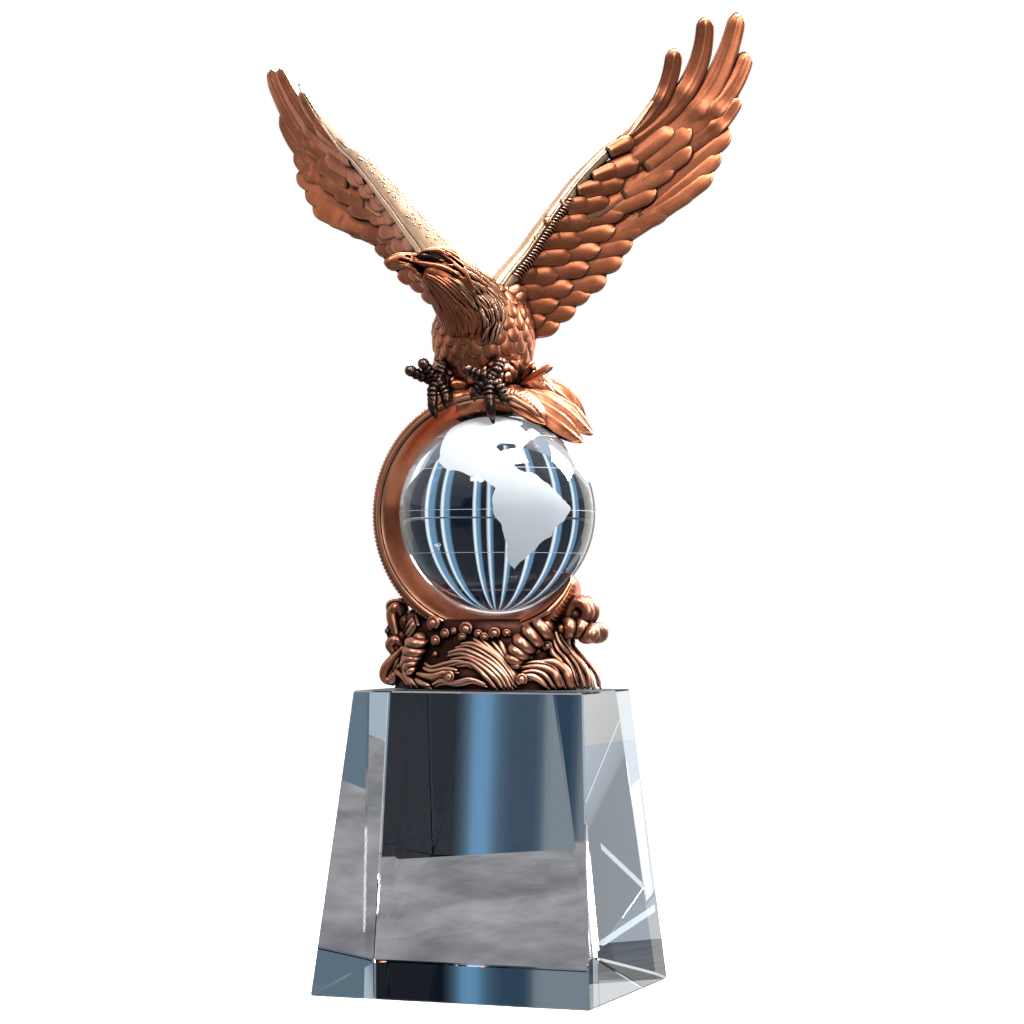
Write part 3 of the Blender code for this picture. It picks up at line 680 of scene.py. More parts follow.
def neck_piece(material, soft):
    """Long pointed hackles down the nape, and fine low ones down the throat to a fringed end."""
    girth = 8.0
    neck = Trunk([head_point(*p) for p in NECK], NECK_RADII, 0.66 * LOOK - 0.75 * UP, girth)
    nape = Clay()
    rows = 11
    for row in range(rows - 1, -1, -1):
        along = 4.2 + (neck.length * 0.68 - 4.2) * row / (rows - 1)
        around = 2 * np.pi * np.interp(along + 4, neck.shares, neck.radii)
        count = int(around / 1.9)
        for k in range(count):
            turn = 2 * np.pi * (k + rng.uniform(-0.3, 0.3)) / count - np.pi
            if abs(turn) < 1.5:
                continue
            start = along + rng.uniform(-1.6, 1.6)
            reach = rng.uniform(7.5, 11.5)
            drift = -0.06 * turn + rng.uniform(-0.06, 0.06)
            chart = [(girth * turn, start), (girth * (turn + 0.2 * drift), start + 0.5 * reach),
                     (girth * (turn + drift), start + reach)]
            strand(nape, neck.place, chart, rng.uniform(1.5, 2.2) * girth * 2 * np.pi / around,
                   rng.uniform(1.0, 1.4), level=-0.5, lift=1.2)
    throat = Clay()
    neck.skin(throat)
    for row in range(9, -1, -1):
        along = 1.0 + neck.length * 0.70 * row / 9
        for k in range(24):
            turn = 1.55 * (2 * (k + rng.uniform(-0.45, 0.45)) / 23 - 1)
            start = along + rng.uniform(-3, 3)
            reach = min(rng.uniform(9, 15), neck.length + rng.uniform(-2.0, 0.5) - start)
            sway = rng.uniform(-0.05, 0.05)
            chart = [(girth * turn, start), (girth * (turn + sway), start + 0.5 * reach),
                     (girth * turn * 0.97, start + reach)]
            strand(throat, neck.place, chart, rng.uniform(1.2, 2.0), 0.42, level=-0.18, lift=0.42, stations=9)
    add_cast("nape", nape, material)
    add_cast("throat", throat, soft)


def polyline_distance(points, path):
    """Distance from each point to a path, all in the same few dimensions."""
    best = np.full(len(points), 1e9)
    for a, b in zip(path[:-1], path[1:]):
        span = b - a
        t = np.clip(((points - a) @ span) / max(span @ span, 1e-9), 0, 1)
        best = np.minimum(best, np.linalg.norm(points - (a + t[:, None] * span), axis=1))
    return best


# The head's outline: how far ahead, the height of its top, the height of its underside, and half its width
HEAD_STATIONS = [(8.6, 1.9, -1.0, 1.15), (7.2, 1.95, -1.7, 1.5), (5.6, 2.0, -2.9, 1.95),
                 (4.2, 2.15, -4.2, 2.5), (2.6, 2.9, -5.6, 3.2), (0.8, 3.5, -7.2, 3.9),
                 (-1.2, 3.85, -8.9, 4.5), (-3.2, 3.9, -10.6, 5.0), (-5.2, 3.4, -11.8, 5.5),
                 (-7.2, 2.4, -12.6, 6.0)]

# Forms on the head, through places ahead, above and to the side, each with its radii
BEAK = (((5.0, 0.35), (7.6, 0.75), (10.0, 0.95), (12.0, 0.45), (13.1, -0.55), (13.25, -1.9)),
        (1.9, 1.85, 1.7, 1.45, 0.95, 0.16))
JAW = (((2.0, -4.2), (5.6, -2.4), (8.2, -1.35), (10.4, -0.95)), (1.9, 1.2, 0.75, 0.35))
BROW = (((5.6, 1.0, 1.2), (3.4, 2.0, 2.4), (0.6, 2.5, 3.6), (-2.2, 2.1, 4.5), (-5.6, 0.4, 5.3)),
        (0.3, 0.7, 0.95, 0.85, 0.4))
CHEEK = (((7.0, -0.2, 1.1), (3.8, -0.9, 2.7), (0.2, -1.9, 4.1), (-3.6, -3.1, 5.0), (-7.2, -5.2, 5.7)),
         (0.3, 0.7, 0.95, 0.9, 0.4))


def head_piece(material):
    """Skull, hooked beak and brow: fused, then chased with lines. The eyes are set in afterwards."""
    clay = Clay()
    stations = spline(HEAD_STATIONS, 60)
    turn = 2 * np.pi * np.arange(40) / 40
    rings = []
    for ahead, top, low, wide in stations:
        middle, tall = (top + low) / 2, (top - low) / 2
        narrow = 0.74 - 0.20 * np.cos(turn) * (low < -4)
        slant = 0.42 * (middle + tall * np.cos(turn) - top) * (ahead < 9)
        spots = []
        for angle, share, lean in zip(turn, narrow, slant):
            bulge = math.copysign(abs(math.sin(angle)) ** 0.85, math.sin(angle)) / 0.74
            spots.append(head_point(ahead + lean, middle + tall * math.cos(angle), wide * share * bulge))
        rings.append(spots)
    clay.skin(np.array(rings))
    for (places, radii), count, sides, flat in ((BEAK, 40, 24, 0.72), (JAW, 20, 20, 0.9)):
        path = [head_point(*place) for place in places]
        clay.tube(spline(path, count), spline(radii, count), sides=sides, flat=flat, across=OUT)
    for side in (-1, 1):
        for places, radii in (BROW, CHEEK):
            path = [head_point(ahead, above, side * out) for ahead, above, out in places]
            clay.tube(spline(path, 24), spline(radii, 24), sides=14)
    mesh = fused(clay, 0.14, soften)
    chase_head(mesh)
    add_piece("head", mesh, material)


def soften(item):
    """Smooth the small steps that fusing leaves."""
    even = item.modifiers.new("even", "SMOOTH")
    even.iterations = 5


def eyes_piece(dark, bright):
    """Dark almond eyes deep under the brows, partly painted shade of the deep sockets, each with a painted
    highlight: a small bright spot.
    """
    slant = math.radians(18)
    fore = math.cos(slant) * LOOK + math.sin(slant) * UP
    # The dark almonds also paint the sockets' shade; the small bright balls are painted glints.
    for name, coat, ahead, above, out, radii in (("eyes", dark, -0.2, 0.35, 2.75, (4.1, 1.35, 1.3)),
                                                 ("painted_eye_glints", bright, -2.3, -0.65, 4.05, (0.75, 0.45, 0.45))):
        clay = Clay()
        for side in (-1, 1):
            outward = unit(-side * OUT - 0.16 * LOOK)
            frame_turn = np.stack([fore, np.cross(outward, fore), outward], axis=1)
            clay.ball(head_point(ahead, above, side * out), radii, turn=frame_turn)
        add_cast(name, clay, coat)


def chase_head(mesh):
    """Cut the eye sockets, mouth and nostrils and the lines of the nape; then put the head in its place."""
    points = read_points(mesh) / MM
    normals = read_points(mesh, "normal")
    local = np.stack([(points - HEAD) @ LOOK, (points - HEAD) @ UP], axis=1)
    flank = smooth_step((np.abs((points - HEAD) @ OUT) - 0.5) / 0.9)
    move = np.zeros(len(points))
    lines = (
        (((3.6, 0.9), (2.0, 0.75), (-0.4, 0.3), (-2.8, -0.4), (-4.6, -1.3)), -1.3, 0.95),
        (((9.6, -0.35), (7.4, -1.0), (5.0, -2.0), (2.4, -3.6), (-0.6, -5.2), (-3.4, -6.9)), -1.3, 0.42),
        (((4.0, -3.6), (1.4, -4.9), (-1.6, -6.4)), -1.0, 0.8),
        (((6.0, 2.2), (5.7, 0.0)), -0.35, 0.3),
        (((7.6, 1.0), (6.7, 0.75)), -0.7, 0.35),
        (((-3.6, 2.0), (-6.0, 0.2), (-8.5, -2.2)), -0.8, 0.35),
        (((-2.6, 3.2), (-5.4, 2.0), (-8.5, -0.2)), -0.6, 0.35),
        (((-5.0, -2.2), (-6.6, -3.4), (-8.5, -5.2)), -0.8, 0.4),
        (((1.6, -6.6), (-1.4, -8.6), (-5.0, -10.6)), -0.5, 0.3),
        (((-1.0, -7.2), (-4.0, -9.0), (-7.0, -10.6)), -0.5, 0.3),
    )
    for path, depth, width in lines:
        path = spline(path, 16) if len(path) > 2 else np.array(path, float)
        move += depth * flank * np.exp(-(polyline_distance(local, path) / width) ** 2)
    write_points(mesh, on_eagle(points + normals * move[:, None]))


# Feet, tail and perch

def toe(clay, path, radius, claw, rings=5):
    """A ringed toe that ends in a smooth curved claw, or in a blunt pad."""
    count = 12 * rings
    curve = spline(path, count)
    beads = 1 + 0.26 * np.abs(np.sin(np.linspace(0, np.pi * rings, count)))
    taper = np.linspace(1.12, 0.95, count)
    clay.tube(curve, radius * beads * taper, sides=18)
    clay.ball(curve[-1], [radius * 1.2] * 3)
    if claw is not None:
        hook = spline([curve[-1], *claw], 20)
        clay.tube(hook, spline([radius * 1.05, radius * 1.1, radius * 0.8, radius * 0.2], 20), sides=16)


# Each foot's middle, the radius of its toes, and for each toe its path and its claw, if it has one
FEET = (
    ((-14.4, -11, 10.6), 1.45, (
        ([(-15.6, -14, 12.9), (-16.9, -16, 15.4)], None),
        ([(-18.2, -14, 11.8), (-21.2, -16, 13.4)], None),
        ([(-13.2, -11, 13.1), (-13.3, -9, 15.1)], None),
        ([(-15.0, -13.0, 7.4), (-14.9, -13.2, 4.6)],
         [(-14.9, -13.4, 2.6), (-14.6, -12.6, 0.6), (-14.5, -11.6, -1.2)]),
        ([(-12.6, -11, 8.0), (-11.7, -10.6, 5.6)],
         [(-11.5, -10.8, 4.4), (-11.4, -10.8, 3.2), (-11.4, -10.4, 2.0)]))),
    ((3.8, -12, 10.6), 1.5, (
        ([(0.1, -14, 11.9), (-2.8, -15, 13.2)], None),
        ([(1.2, -13, 8.6), (-0.9, -12.4, 6.6)],
         [(-1.4, -12.4, 5.8), (-1.8, -12.0, 4.9), (-2.0, -11.4, 4.0)]),
        ([(5.3, -12, 13.1), (5.7, -10, 15.6)], None),
        ([(3.8, -14, 7.2), (4.1, -14.6, 4.4)],
         [(4.4, -14.8, 2.0), (4.7, -14.2, -0.8), (4.7, -12.8, -3.2)]),
        ([(6.4, -12.4, 7.6), (7.4, -11.6, 5.2)],
         [(7.8, -11.4, 4.2), (8.0, -11.0, 3.2), (8.0, -10.4, 2.4)]))),
)


def feet_piece(material):
    """Two feet that grip the stone."""
    clay = Clay()
    for hub, radius, toes in FEET:
        clay.ball(hub, (2.4, 2.3, 2.5))
        for path, claw in toes:
            toe(clay, [hub, *path], radius, claw)
    add_cast("feet", clay, material)


def tail_piece(material):
    """Long broad tail feathers that trail over the crescent, and two small curled ones above them."""
    clay = Clay()
    blades = (
        ([(5, 6, 10.5), (13.0, 9, 9.4), (19.0, 14, 4.4), (23.6, 17.5, -1.6)], (-0.25, -0.75, 0.6), 9.0, 1.2),
        ([(4, 2, 8.0), (12.0, 4.4, 6.6), (19.6, 9.6, 1.6), (26.6, 14.8, -5.6)], (-0.15, -0.75, 0.65), 8.0,
         1.4),
        ([(2, -3, 5.4), (9.5, -3.2, 4.2), (17.2, 1.5, -0.8), (25.4, 9.0, -8.2)], (-0.1, -0.85, 0.5), 8.0,
         1.3),
        ([(0, -5, 4.0), (6, -6.3, 4.2), (11.6, -5.6, 1.8), (18.0, -2.0, -3.4)], (-0.1, -0.9, 0.4), 5.4, 0.8),
    )
    for path, normal, width, thick in blades:
        blade = Blade(path, normal)
        for face in (-1, 1):
            feather(clay, blade.place, (0, 0), (0, blade.length), width, level=0, face=face,
                    thick=thick * 0.6, crown=0.5, quill=0.35, rim=0.35, shingle=0.3, point=0.8, stations=40,
                    columns=21, base=0.8, barbs=0.04)
    for path, width in (([(9, 0.5, 9), (13, -2, 11.2), (17, -3.6, 13.0), (20.4, -4.2, 14.4)], 3.2),
                        ([(9, 1, 11), (11.4, 0, 13.6), (13.0, -1.0, 14.8), (13.8, -2.2, 13.8)], 2.6)):
        blade = Blade(path, (-0.4, -0.7, 0.6))
        for face in (-1, 1):
            feather(clay, blade.place, (0, 0), (0, blade.length), width, level=0, face=face, thick=0.6,
                    crown=0.3, quill=0.2, shingle=0.0, point=0.35, stations=24)
    fan = Trunk([(2, 4, 14), (10, 8, 9), (17, 13, 3)], [7.5, 5.0, 1.6], (0, 0, 1), 6.0, flat=0.7)
    fan.skin(clay, 40)
    for row in range(4):
        for k in range(9):
            x = 2 * np.pi * 6.0 * (k + 0.5 * (row % 2)) / 9
            feather(clay, fan.place, (x, 0.5 + 3.6 * row), (x, 7.5 + 3.6 * row), 4.8, level=0.0, face=1,
                    thick=0.5, crown=0.4, quill=0.15, shingle=0.1, stations=14, columns=11)
    add_cast("tail", clay, material)


STONES = (((-9, -1, 4), (10.5, 8.4, 5.4)), ((2, 0, 4.6), (10.5, 8.6, 5.6)), ((-5, 5, 8), (9.5, 6.4, 5.6)),
          ((-9.4, -5.6, 9.4), (3.6, 3.6, 2.2)), ((-3, -4, 5.0), (6, 4.6, 4.4)))
SOCKET_GAP = 0.45
SOCKET_RADIUS = GLOBE_RADIUS + SOCKET_GAP


def roughen(item):
    """Give the stone a rough broken skin."""
    rock = bpy.data.textures.new("rock", "VORONOI")
    rock.noise_scale = 5.0 * MM
    rough = item.modifiers.new("rough", "DISPLACE")
    rough.texture = rock
    rough.strength = 1.6 * MM
    rough.mid_level = 0.5


def perch_piece(material):
    """The rough stone that the eagle grips, hollowed where it would touch the globe."""
    clay = Clay()
    for spot, radii in STONES:
        clay.ball(spot, radii, rings=40, sides=60)
    mesh = fused(clay, 0.33, roughen)
    points = on_eagle(read_points(mesh) / MM) / MM
    away = points - GLOBE_CENTRE
    gap = np.linalg.norm(away, axis=1)
    close = gap < SOCKET_RADIUS
    points[close] = GLOBE_CENTRE + away[close] / gap[close, None] * SOCKET_RADIUS
    write_points(mesh, points * MM)
    add_piece("perch", mesh, material)


# Crescent

# Half of the ring's section: millimetres out from the ball, and to the front
RIM_PROFILE = [(0.45, 0.0), (0.7, 2.0), (1.3, 4.2), (2.3, 6.4), (3.5, 8.1), (4.3, 8.95), (4.7, 9.2),
               (4.85, 8.75), (5.05, 9.15), (5.5, 9.5), (6.1, 9.5), (6.5, 9.1), (6.65, 8.6),
               (6.95, 8.55), (7.5, 8.35),
               (8.1, 7.7), (8.45, 6.9), (8.5, 6.3), (8.8, 5.6), (9.3, 3.6), (9.5, 0.0)]
LOW_END = math.radians(-38)
HIGH_END = math.radians(60)


def crescent_piece(material):
    """A ring of moulded section with a notched outer edge, which thins to a tip at both ends."""
    clay = Clay()
    front = np.array([(r, -y) for r, y in RIM_PROFILE])
    back = np.array([(r, y) for r, y in RIM_PROFILE[-2:0:-1]])
    profile = np.concatenate([front, back])
    notched = (profile[:, 0] > 7.2) & (profile[:, 0] < 8.6)
    steps = 560
    start = 2 * math.pi + LOW_END
    t = np.linspace(0, 1, steps)
    angle = start + (HIGH_END - start) * t
    taper = np.minimum(1.0, 0.10 + 0.90 * np.sqrt(np.minimum(1.0, t / 0.07)))
    taper *= np.minimum(1.0, 0.10 + 0.90 * np.sqrt(np.minimum(1.0, (1 - t) / 0.06)))
    notch = 0.16 * np.sign(np.sin(np.pi * np.arange(steps) / 2 + 0.4))
    radius = SOCKET_RADIUS + (profile[None, :, 0] - SOCKET_GAP + notch[:, None] * notched) * taper[:, None]
    y = profile[None, :, 1] * taper[:, None]
    rings = np.stack([radius * np.cos(angle)[:, None], y, radius * np.sin(angle)[:, None]], axis=-1)
    clay.skin(GLOBE_CENTRE + rings)
    mesh = clay.mesh("crescent")
    mesh.set_sharp_from_angle(angle=math.radians(50))
    add_piece("crescent", mesh, material)


# Waves

WAVES_SHIFT = -1.6
WAVES_WIDTH = 67.0
WAVES_DEPTH = 38.0
WAVES_HEIGHT = 23.7

# At each share of the height, how wide and how deep the waves are as shares of the most
WAVES_SHAPE = np.array([(-0.03, 0.94, 0.96), (0.18, 0.92, 0.94), (0.4, 0.83, 0.80), (0.62, 0.80, 0.72),
                        (0.82, 0.80, 0.62), (0.98, 0.72, 0.5), (1.12, 0.6, 0.36)])


def waves_span(level):
    """Half the waves' width and half their depth at a share of their height."""
    wide, deep = (np.interp(level, WAVES_SHAPE[:, 0], WAVES_SHAPE[:, i]) for i in (1, 2))
    return WAVES_WIDTH / 2 * wide, WAVES_DEPTH / 2 * deep


def waves_point(x, level, side, proud=0.0):
    """A place on the skin of the waves: x in millimetres from their middle, side -1 is the front."""
    level = np.clip(level, -0.02, 1.14)
    wide, deep = waves_span(level)
    y = deep * np.sqrt(1 - np.clip(x / wide, -0.98, 0.98) ** 2) + proud
    return np.stack([WAVES_SHIFT + x + 0 * y, side * y, SEAT + WAVES_HEIGHT * level + 0 * y], axis=-1)


# The waves' forms, each point as millimetres from the middle and share of the height, then its sizes
COILS = [
    [(-32.5, 0.99, 0.7), (-32.4, 1.09, 1.0), (-29.3, 1.13, 1.0), (-25.7, 1.10, 0.95), (-22.7, 0.99, 0.9),
     (-20.2, 0.82, 0.5)],
    [(-28.4, 0.97, 1.0), (-29.7, 1.04, 1.9), (-31.3, 0.98, 1.8), (-30.9, 0.85, 1.7), (-29.8, 0.70, 1.2)],
    [(-28.0, 0.56, 0.7), (-29.7, 0.62, 1.7), (-31.6, 0.56, 1.6), (-30.6, 0.46, 1.1)],
    [(-27.5, 0.51, 0.9), (-31.0, 0.35, 1.6), (-33.0, 0.22, 1.7), (-32.7, 0.11, 1.4), (-29.0, 0.08, 1.1),
     (-28.0, 0.17, 1.1)],
    [(-29.6, 0.24, 0.7), (-23.9, 0.16, 0.8), (-21.5, 0.07, 0.6)],
    [(26.2, 0.84, 1.4), (26.7, 1.01, 2.0), (28.7, 1.11, 2.2), (31.4, 1.09, 2.3), (32.7, 0.98, 2.1),
     (31.4, 0.86, 1.6)],
    [(21.0, 0.36, 0.8), (24.3, 0.34, 1.5), (27.5, 0.23, 1.7), (28.8, 0.06, 1.3)],
    [(15.9, 0.29, 0.7), (20.6, 0.29, 1.2), (24.5, 0.22, 1.3), (26.3, 0.06, 0.9)],
]
SHELLS = [
    [(21.0, 0.80, 3.0, 1.5), (18.6, 0.71, 3.2, 1.55), (16.3, 0.61, 3.0, 1.5), (14.9, 0.51, 2.7, 1.35),
     (13.6, 0.42, 2.1, 1.15), (13.9, 0.34, 1.2, 0.8)],
    [(-18.8, 0.63, 3.0, 1.4), (-19.4, 0.52, 3.0, 1.35), (-20.2, 0.42, 2.6, 1.2), (-20.5, 0.33, 2.0, 1.0),
     (-20.0, 0.25, 1.3, 0.8)],
    [(25.3, 0.77, 2.2, 1.6), (28.3, 0.78, 2.3, 1.6), (31.6, 0.73, 2.4, 1.6)],
]
BUDS = [
    (-13.7, 0.84, 2.1), (-9.3, 0.71, 1.4), (-12.3, 0.62, 1.5), (-6.7, 0.74, 1.0), (-2.3, 0.77, 1.9),
    (-3.4, 0.67, 1.2), (1.7, 0.71, 1.2), (3.8, 0.67, 1.2), (6.8, 0.72, 1.6), (10.4, 0.72, 1.1),
    (20.1, 0.95, 1.8), (22.0, 0.56, 1.4), (-5.7, 0.17, 1.6), (16.5, 0.14, 1.6), (19.5, 0.49, 0.7),
    (17.7, 0.41, 0.7), (-12.3, 0.45, 0.7), (22.7, 0.65, 0.9),
]
LOCKS = [
    [(-7.4, 0.43), (-2.2, 0.45), (4.6, 0.34), (9.7, 0.18), (11.9, 0.05)],
    [(-7.3, 0.47), (-1.8, 0.50), (5.5, 0.37), (10.9, 0.20), (13.1, 0.05)],
    [(-5.2, 0.53), (-0.5, 0.55), (5.9, 0.42), (10.9, 0.25), (14.0, 0.08)],
    [(-3.4, 0.58), (0.8, 0.58), (6.6, 0.46), (11.4, 0.29), (14.4, 0.12)],
    [(-6.2, 0.38), (-1.1, 0.40), (4.0, 0.30), (8.6, 0.16), (10.6, 0.05)],
    [(-4.9, 0.33), (-0.3, 0.34), (3.2, 0.26), (6.6, 0.14), (8.6, 0.04)],
    [(0.6, 0.64), (3.5, 0.56), (7.6, 0.45), (11.9, 0.31), (14.6, 0.16)],
    [(3.4, 0.62), (6.8, 0.50), (10.3, 0.38), (13.6, 0.22)],
    [(6.5, 0.60), (8.9, 0.49), (11.5, 0.36), (13.9, 0.24)],
    [(8.7, 0.61), (10.1, 0.50), (12.0, 0.39), (14.2, 0.28)],
    [(-15.5, 0.33), (-12.7, 0.28), (-7.9, 0.33), (-3.6, 0.36), (1.2, 0.31)],
    [(-15.6, 0.27), (-12.0, 0.23), (-7.6, 0.26), (-4.1, 0.25)],
    [(-17.7, 0.20), (-12.2, 0.17), (-8.3, 0.21), (-6.6, 0.22)],
    [(-11.6, 0.07), (-8.6, 0.12), (-3.7, 0.10), (0.9, 0.14), (5.4, 0.08)],
    [(23.8, 0.72), (24.6, 0.61), (26.8, 0.46), (29.8, 0.30), (32.2, 0.05)],
    [(24.9, 0.70), (25.9, 0.59), (28.2, 0.46), (31.0, 0.34), (33.2, 0.21), (34.0, 0.05)],
    [(23.2, 0.66), (24.1, 0.54), (26.1, 0.41), (28.7, 0.25), (30.4, 0.05)],
    [(22.7, 0.57), (23.4, 0.47), (25.3, 0.36), (27.8, 0.19), (29.2, 0.05)],
    [(16.4, 0.34), (20.4, 0.35), (24.6, 0.28), (27.2, 0.05)],
    [(16.5, 0.23), (19.6, 0.24), (22.8, 0.18), (24.8, 0.05)],
    [(16.3, 0.18), (19.0, 0.18), (21.4, 0.13), (23.0, 0.05)],
    [(-26.9, 0.74), (-24.6, 0.82), (-23.5, 0.91), (-24.9, 1.00)],
    [(-25.8, 0.69), (-23.2, 0.76), (-21.8, 0.86)],
    [(-28.6, 0.41), (-29.5, 0.30), (-30.3, 0.20)],
    [(-24.0, 0.32), (-23.0, 0.20), (-20.4, 0.06)],
    [(-22.6, 0.24), (-21.4, 0.15), (-18.2, 0.06)],
    [(-18.2, 0.13), (-15.6, 0.08), (-13.0, 0.05)],
    [(-24.8, 0.60), (-25.6, 0.48), (-26.8, 0.36)],
    [(-23.4, 0.56), (-24.4, 0.44), (-25.8, 0.28)],
]


def coil(clay, points, side):
    """A thick curling crest of water."""
    points = np.asarray(points, float)
    curve = spline(points, 10 * len(points))
    path = waves_point(curve[:, 0], curve[:, 1], side, 0.25 * curve[:, 2])
    clay.tube(path, np.maximum(curve[:, 2], 0.3), sides=14)


def shell(clay, folds, side):
    """A rolled crest: fat crescent folds that lie over one another and shrink along the roll."""
    spots = np.array([waves_point(x, level, side, 0.1) for x, level, _, _ in folds])
    ahead = unit(np.gradient(spots, axis=0))
    turn = np.linspace(0.02, 0.98, 20) * np.pi
    for spot, way, (x, level, half, thick) in zip(spots, ahead, folds):
        face = unit(np.array([0.8 * x / WAVES_WIDTH * 2, side, 0.25]))
        across = unit(np.cross(way, face))
        arc = (1.1 * half * np.cos(turn))[:, None] * across + (0.85 * half * np.sin(turn))[:, None] * face
        arc += (1.3 * thick * np.sin(turn))[:, None] * way
        clay.tube(spot + arc, thick * (0.35 + 1.05 * np.sin(turn)), sides=14)
        clay.ball(spot, [0.80 * half] * 3)


def bud(clay, x, level, radius, side):
    """A curled bead of foam: a ball in a rolled lip."""
    face = unit(np.array([0.8 * x / WAVES_WIDTH * 2, side, 0.1]))
    across = unit(np.cross(face, UP))
    rise = np.cross(across, face)
    spot = waves_point(x, level, side, 0.45 * radius)
    clay.ball(spot, [0.82 * radius] * 3)
    turn = np.linspace(-0.35, 1.25, 24) * np.pi
    ring = np.cos(turn)[:, None] * across + np.sin(turn)[:, None] * rise
    lip = spot + 0.86 * radius * ring + 0.25 * radius * face
    clay.tube(lip, radius * 0.32 * (0.45 + 0.55 * np.sin(np.linspace(0.3, 2.9, 24))), sides=12)


def lock(clay, points, side, width, proud=0.25):
    """A long strand of water with a rounded ridge."""
    curve = spline(points, 24)
    path = waves_point(curve[:, 0], curve[:, 1], side, proud)
    t = np.linspace(0, 1, 24)
    clay.tube(path, width * (0.30 + 0.70 * np.sin(np.pi * (0.08 + 0.84 * t)) ** 0.8), sides=8)


# The body's lumps under the crests: millimetres from the middle, share of the height, and radius
LUMPS = ((-27, 0.84, 3.6), (-23.5, 0.90, 3.2), (-28.5, 0.66, 3.0), (25.5, 0.84, 3.4), (28.5, 0.94, 3.4))


def waves_piece(material, dark):
    """The waves: a lumpy dark body, and on both sides the crests, beads and strands of water."""
    body = Clay()
    levels = np.linspace(-0.03, 0.90, 30)
    turn = 2 * np.pi * np.arange(120) / 120
    wide, deep = (0.97 * span[:, None] for span in waves_span(levels))
    heights = (SEAT + WAVES_HEIGHT * np.maximum(levels, 0.0))[:, None] + 0 * turn
    body.skin(np.stack([WAVES_SHIFT + wide * np.cos(turn), deep * np.sin(turn), heights], axis=-1))
    for side in (-1, 1):
        for x, level, size in LUMPS:
            body.ball(waves_point(x, level, side, -2.2), [size] * 3)
        for i in range(70):
            x = rng.uniform(-0.97, -0.88) * WAVES_WIDTH / 2
            spot = waves_point(x, rng.uniform(0.62, 1.02), side, rng.uniform(-1.5, 0.5))
            body.ball(spot, [rng.uniform(0.5, 1.1)] * 3, rings=6, sides=8)
    clay = Clay()
    for side in (-1, 1):
        for points in COILS:
            coil(clay, points, side)
        for folds in SHELLS:
            shell(clay, folds, side)
        for x, level, radius in BUDS:
            bud(clay, x, level, radius, side)
        for i, points in enumerate(LOCKS):
            lock(clay, points, side, 0.92 + 0.14 * math.sin(2.3 * i))
            between = [(x + 0.7, level - 0.035) for x, level in points]
            lock(clay, between, side, 0.60, proud=-0.05)
    add_piece("waves_body", body.mesh("waves_body"), dark)
    add_piece("waves", clay.mesh("waves"), material)


# Globe and plinth

def ball_mesh(name):
    """The globe's smooth ball."""
    ball = bmesh.new()
    bmesh.ops.create_uvsphere(ball, u_segments=128, v_segments=64, radius=GLOBE_RADIUS * MM,
                              matrix=Matrix.Translation(Vector(GLOBE_CENTRE * MM)))
    mesh = bpy.data.meshes.new(name)
    ball.to_mesh(mesh)
    ball.free()
    mesh.shade_smooth()
    return mesh


# Outlines on the globe: degrees up from its middle, and degrees round from its front to the right
AMERICAS = [(37, -25), (29, -20), (24, -11), (24, -6), (23, -2), (20, 5), (21, 9), (18, 13), (13, 20),
            (6, 18), (-2, 19), (-7, 23), (-14, 25), (-19, 27), (-26, 27), (-30, 28), (-35, 33), (-30, 36),
            (-24, 43), (-18, 48), (-14, 55), (-9, 56), (-5, 63), (2, 68), (6, 64), (12, 57), (18, 49),
            (22, 44), (24, 35), (27, 32), (31, 32), (36, 29), (36, 24), (40, 20), (43, 23), (43, 30),
            (42, 35), (37, 36), (42, 43), (44, 46), (47, 53), (53, 66), (58, 62), (54, 50), (60, 48),
            (66, 60), (76, 72), (84, 60), (84, -60), (74, -62), (60, -46), (52, -36), (45, -30)]
AFRICA = [(45, 94), (47, 110), (42, 120), (42, 132), (34, 137), (25, 143), (25, 151), (17, 146), (11, 139),
          (2, 140), (-7, 135), (-15, 126), (-15, 118), (-1, 112), (11, 112), (18, 109), (19, 95), (22, 87),
          (28, 83), (37, 85)]
EURASIA = [(52, 91), (57, 96), (65, 106), (76, 122), (74, 145), (79, 175), (82, 205), (78, 240), (75, 275),
           (69, 275), (67, 260), (62, 240), (52, 232), (48, 222), (41, 221), (34, 210), (24, 206), (22, 199),
           (30, 194), (34, 190), (22, 178), (32, 172), (37, 160), (26, 145), (39, 134), (46, 136), (51, 128),
           (48, 122), (54, 113), (52, 100)]
AUSTRALIA = [(5, 231), (5, 236), (0, 241), (5, 243), (-2, 247), (-9, 253), (-18, 247), (-15, 237), (-13, 230),
             (-15, 217), (-4, 214), (1, 224)]
PARALLELS = (26, 1, -24, -51, 51)

# How far the frosted shells' tops and undersides lie off the ball
LAND_PROUD = 0.05
LINE_PROUD = 0.035
SHELL_UNDERSIDE = 0.004


def on_globe(degrees, radius):
    """Places on a ball round the globe's centre, from degrees up and round."""
    up, round_ = np.radians(degrees[..., 0]), np.radians(degrees[..., 1])
    way = np.stack([np.cos(up) * np.sin(round_), -np.cos(up) * np.cos(round_), np.sin(up)], axis=-1)
    return GLOBE_CENTRE + way * radius


def rough_coast(outline):
    """The outline with small wiggles between its corners."""
    outline = np.array(outline, float)
    coast = []
    for a, b in zip(outline, np.roll(outline, -1, axis=0)):
        span = b - a
        count = max(2, int(np.linalg.norm(span) / 1.6))
        for i in range(count):
            t = i / count
            sway = 0.0 if i == 0 else rng.uniform(-0.5, 0.5)
            coast.append(a + span * t + np.array([-span[1], span[0]]) / np.linalg.norm(span) * sway)
    return np.array(coast)


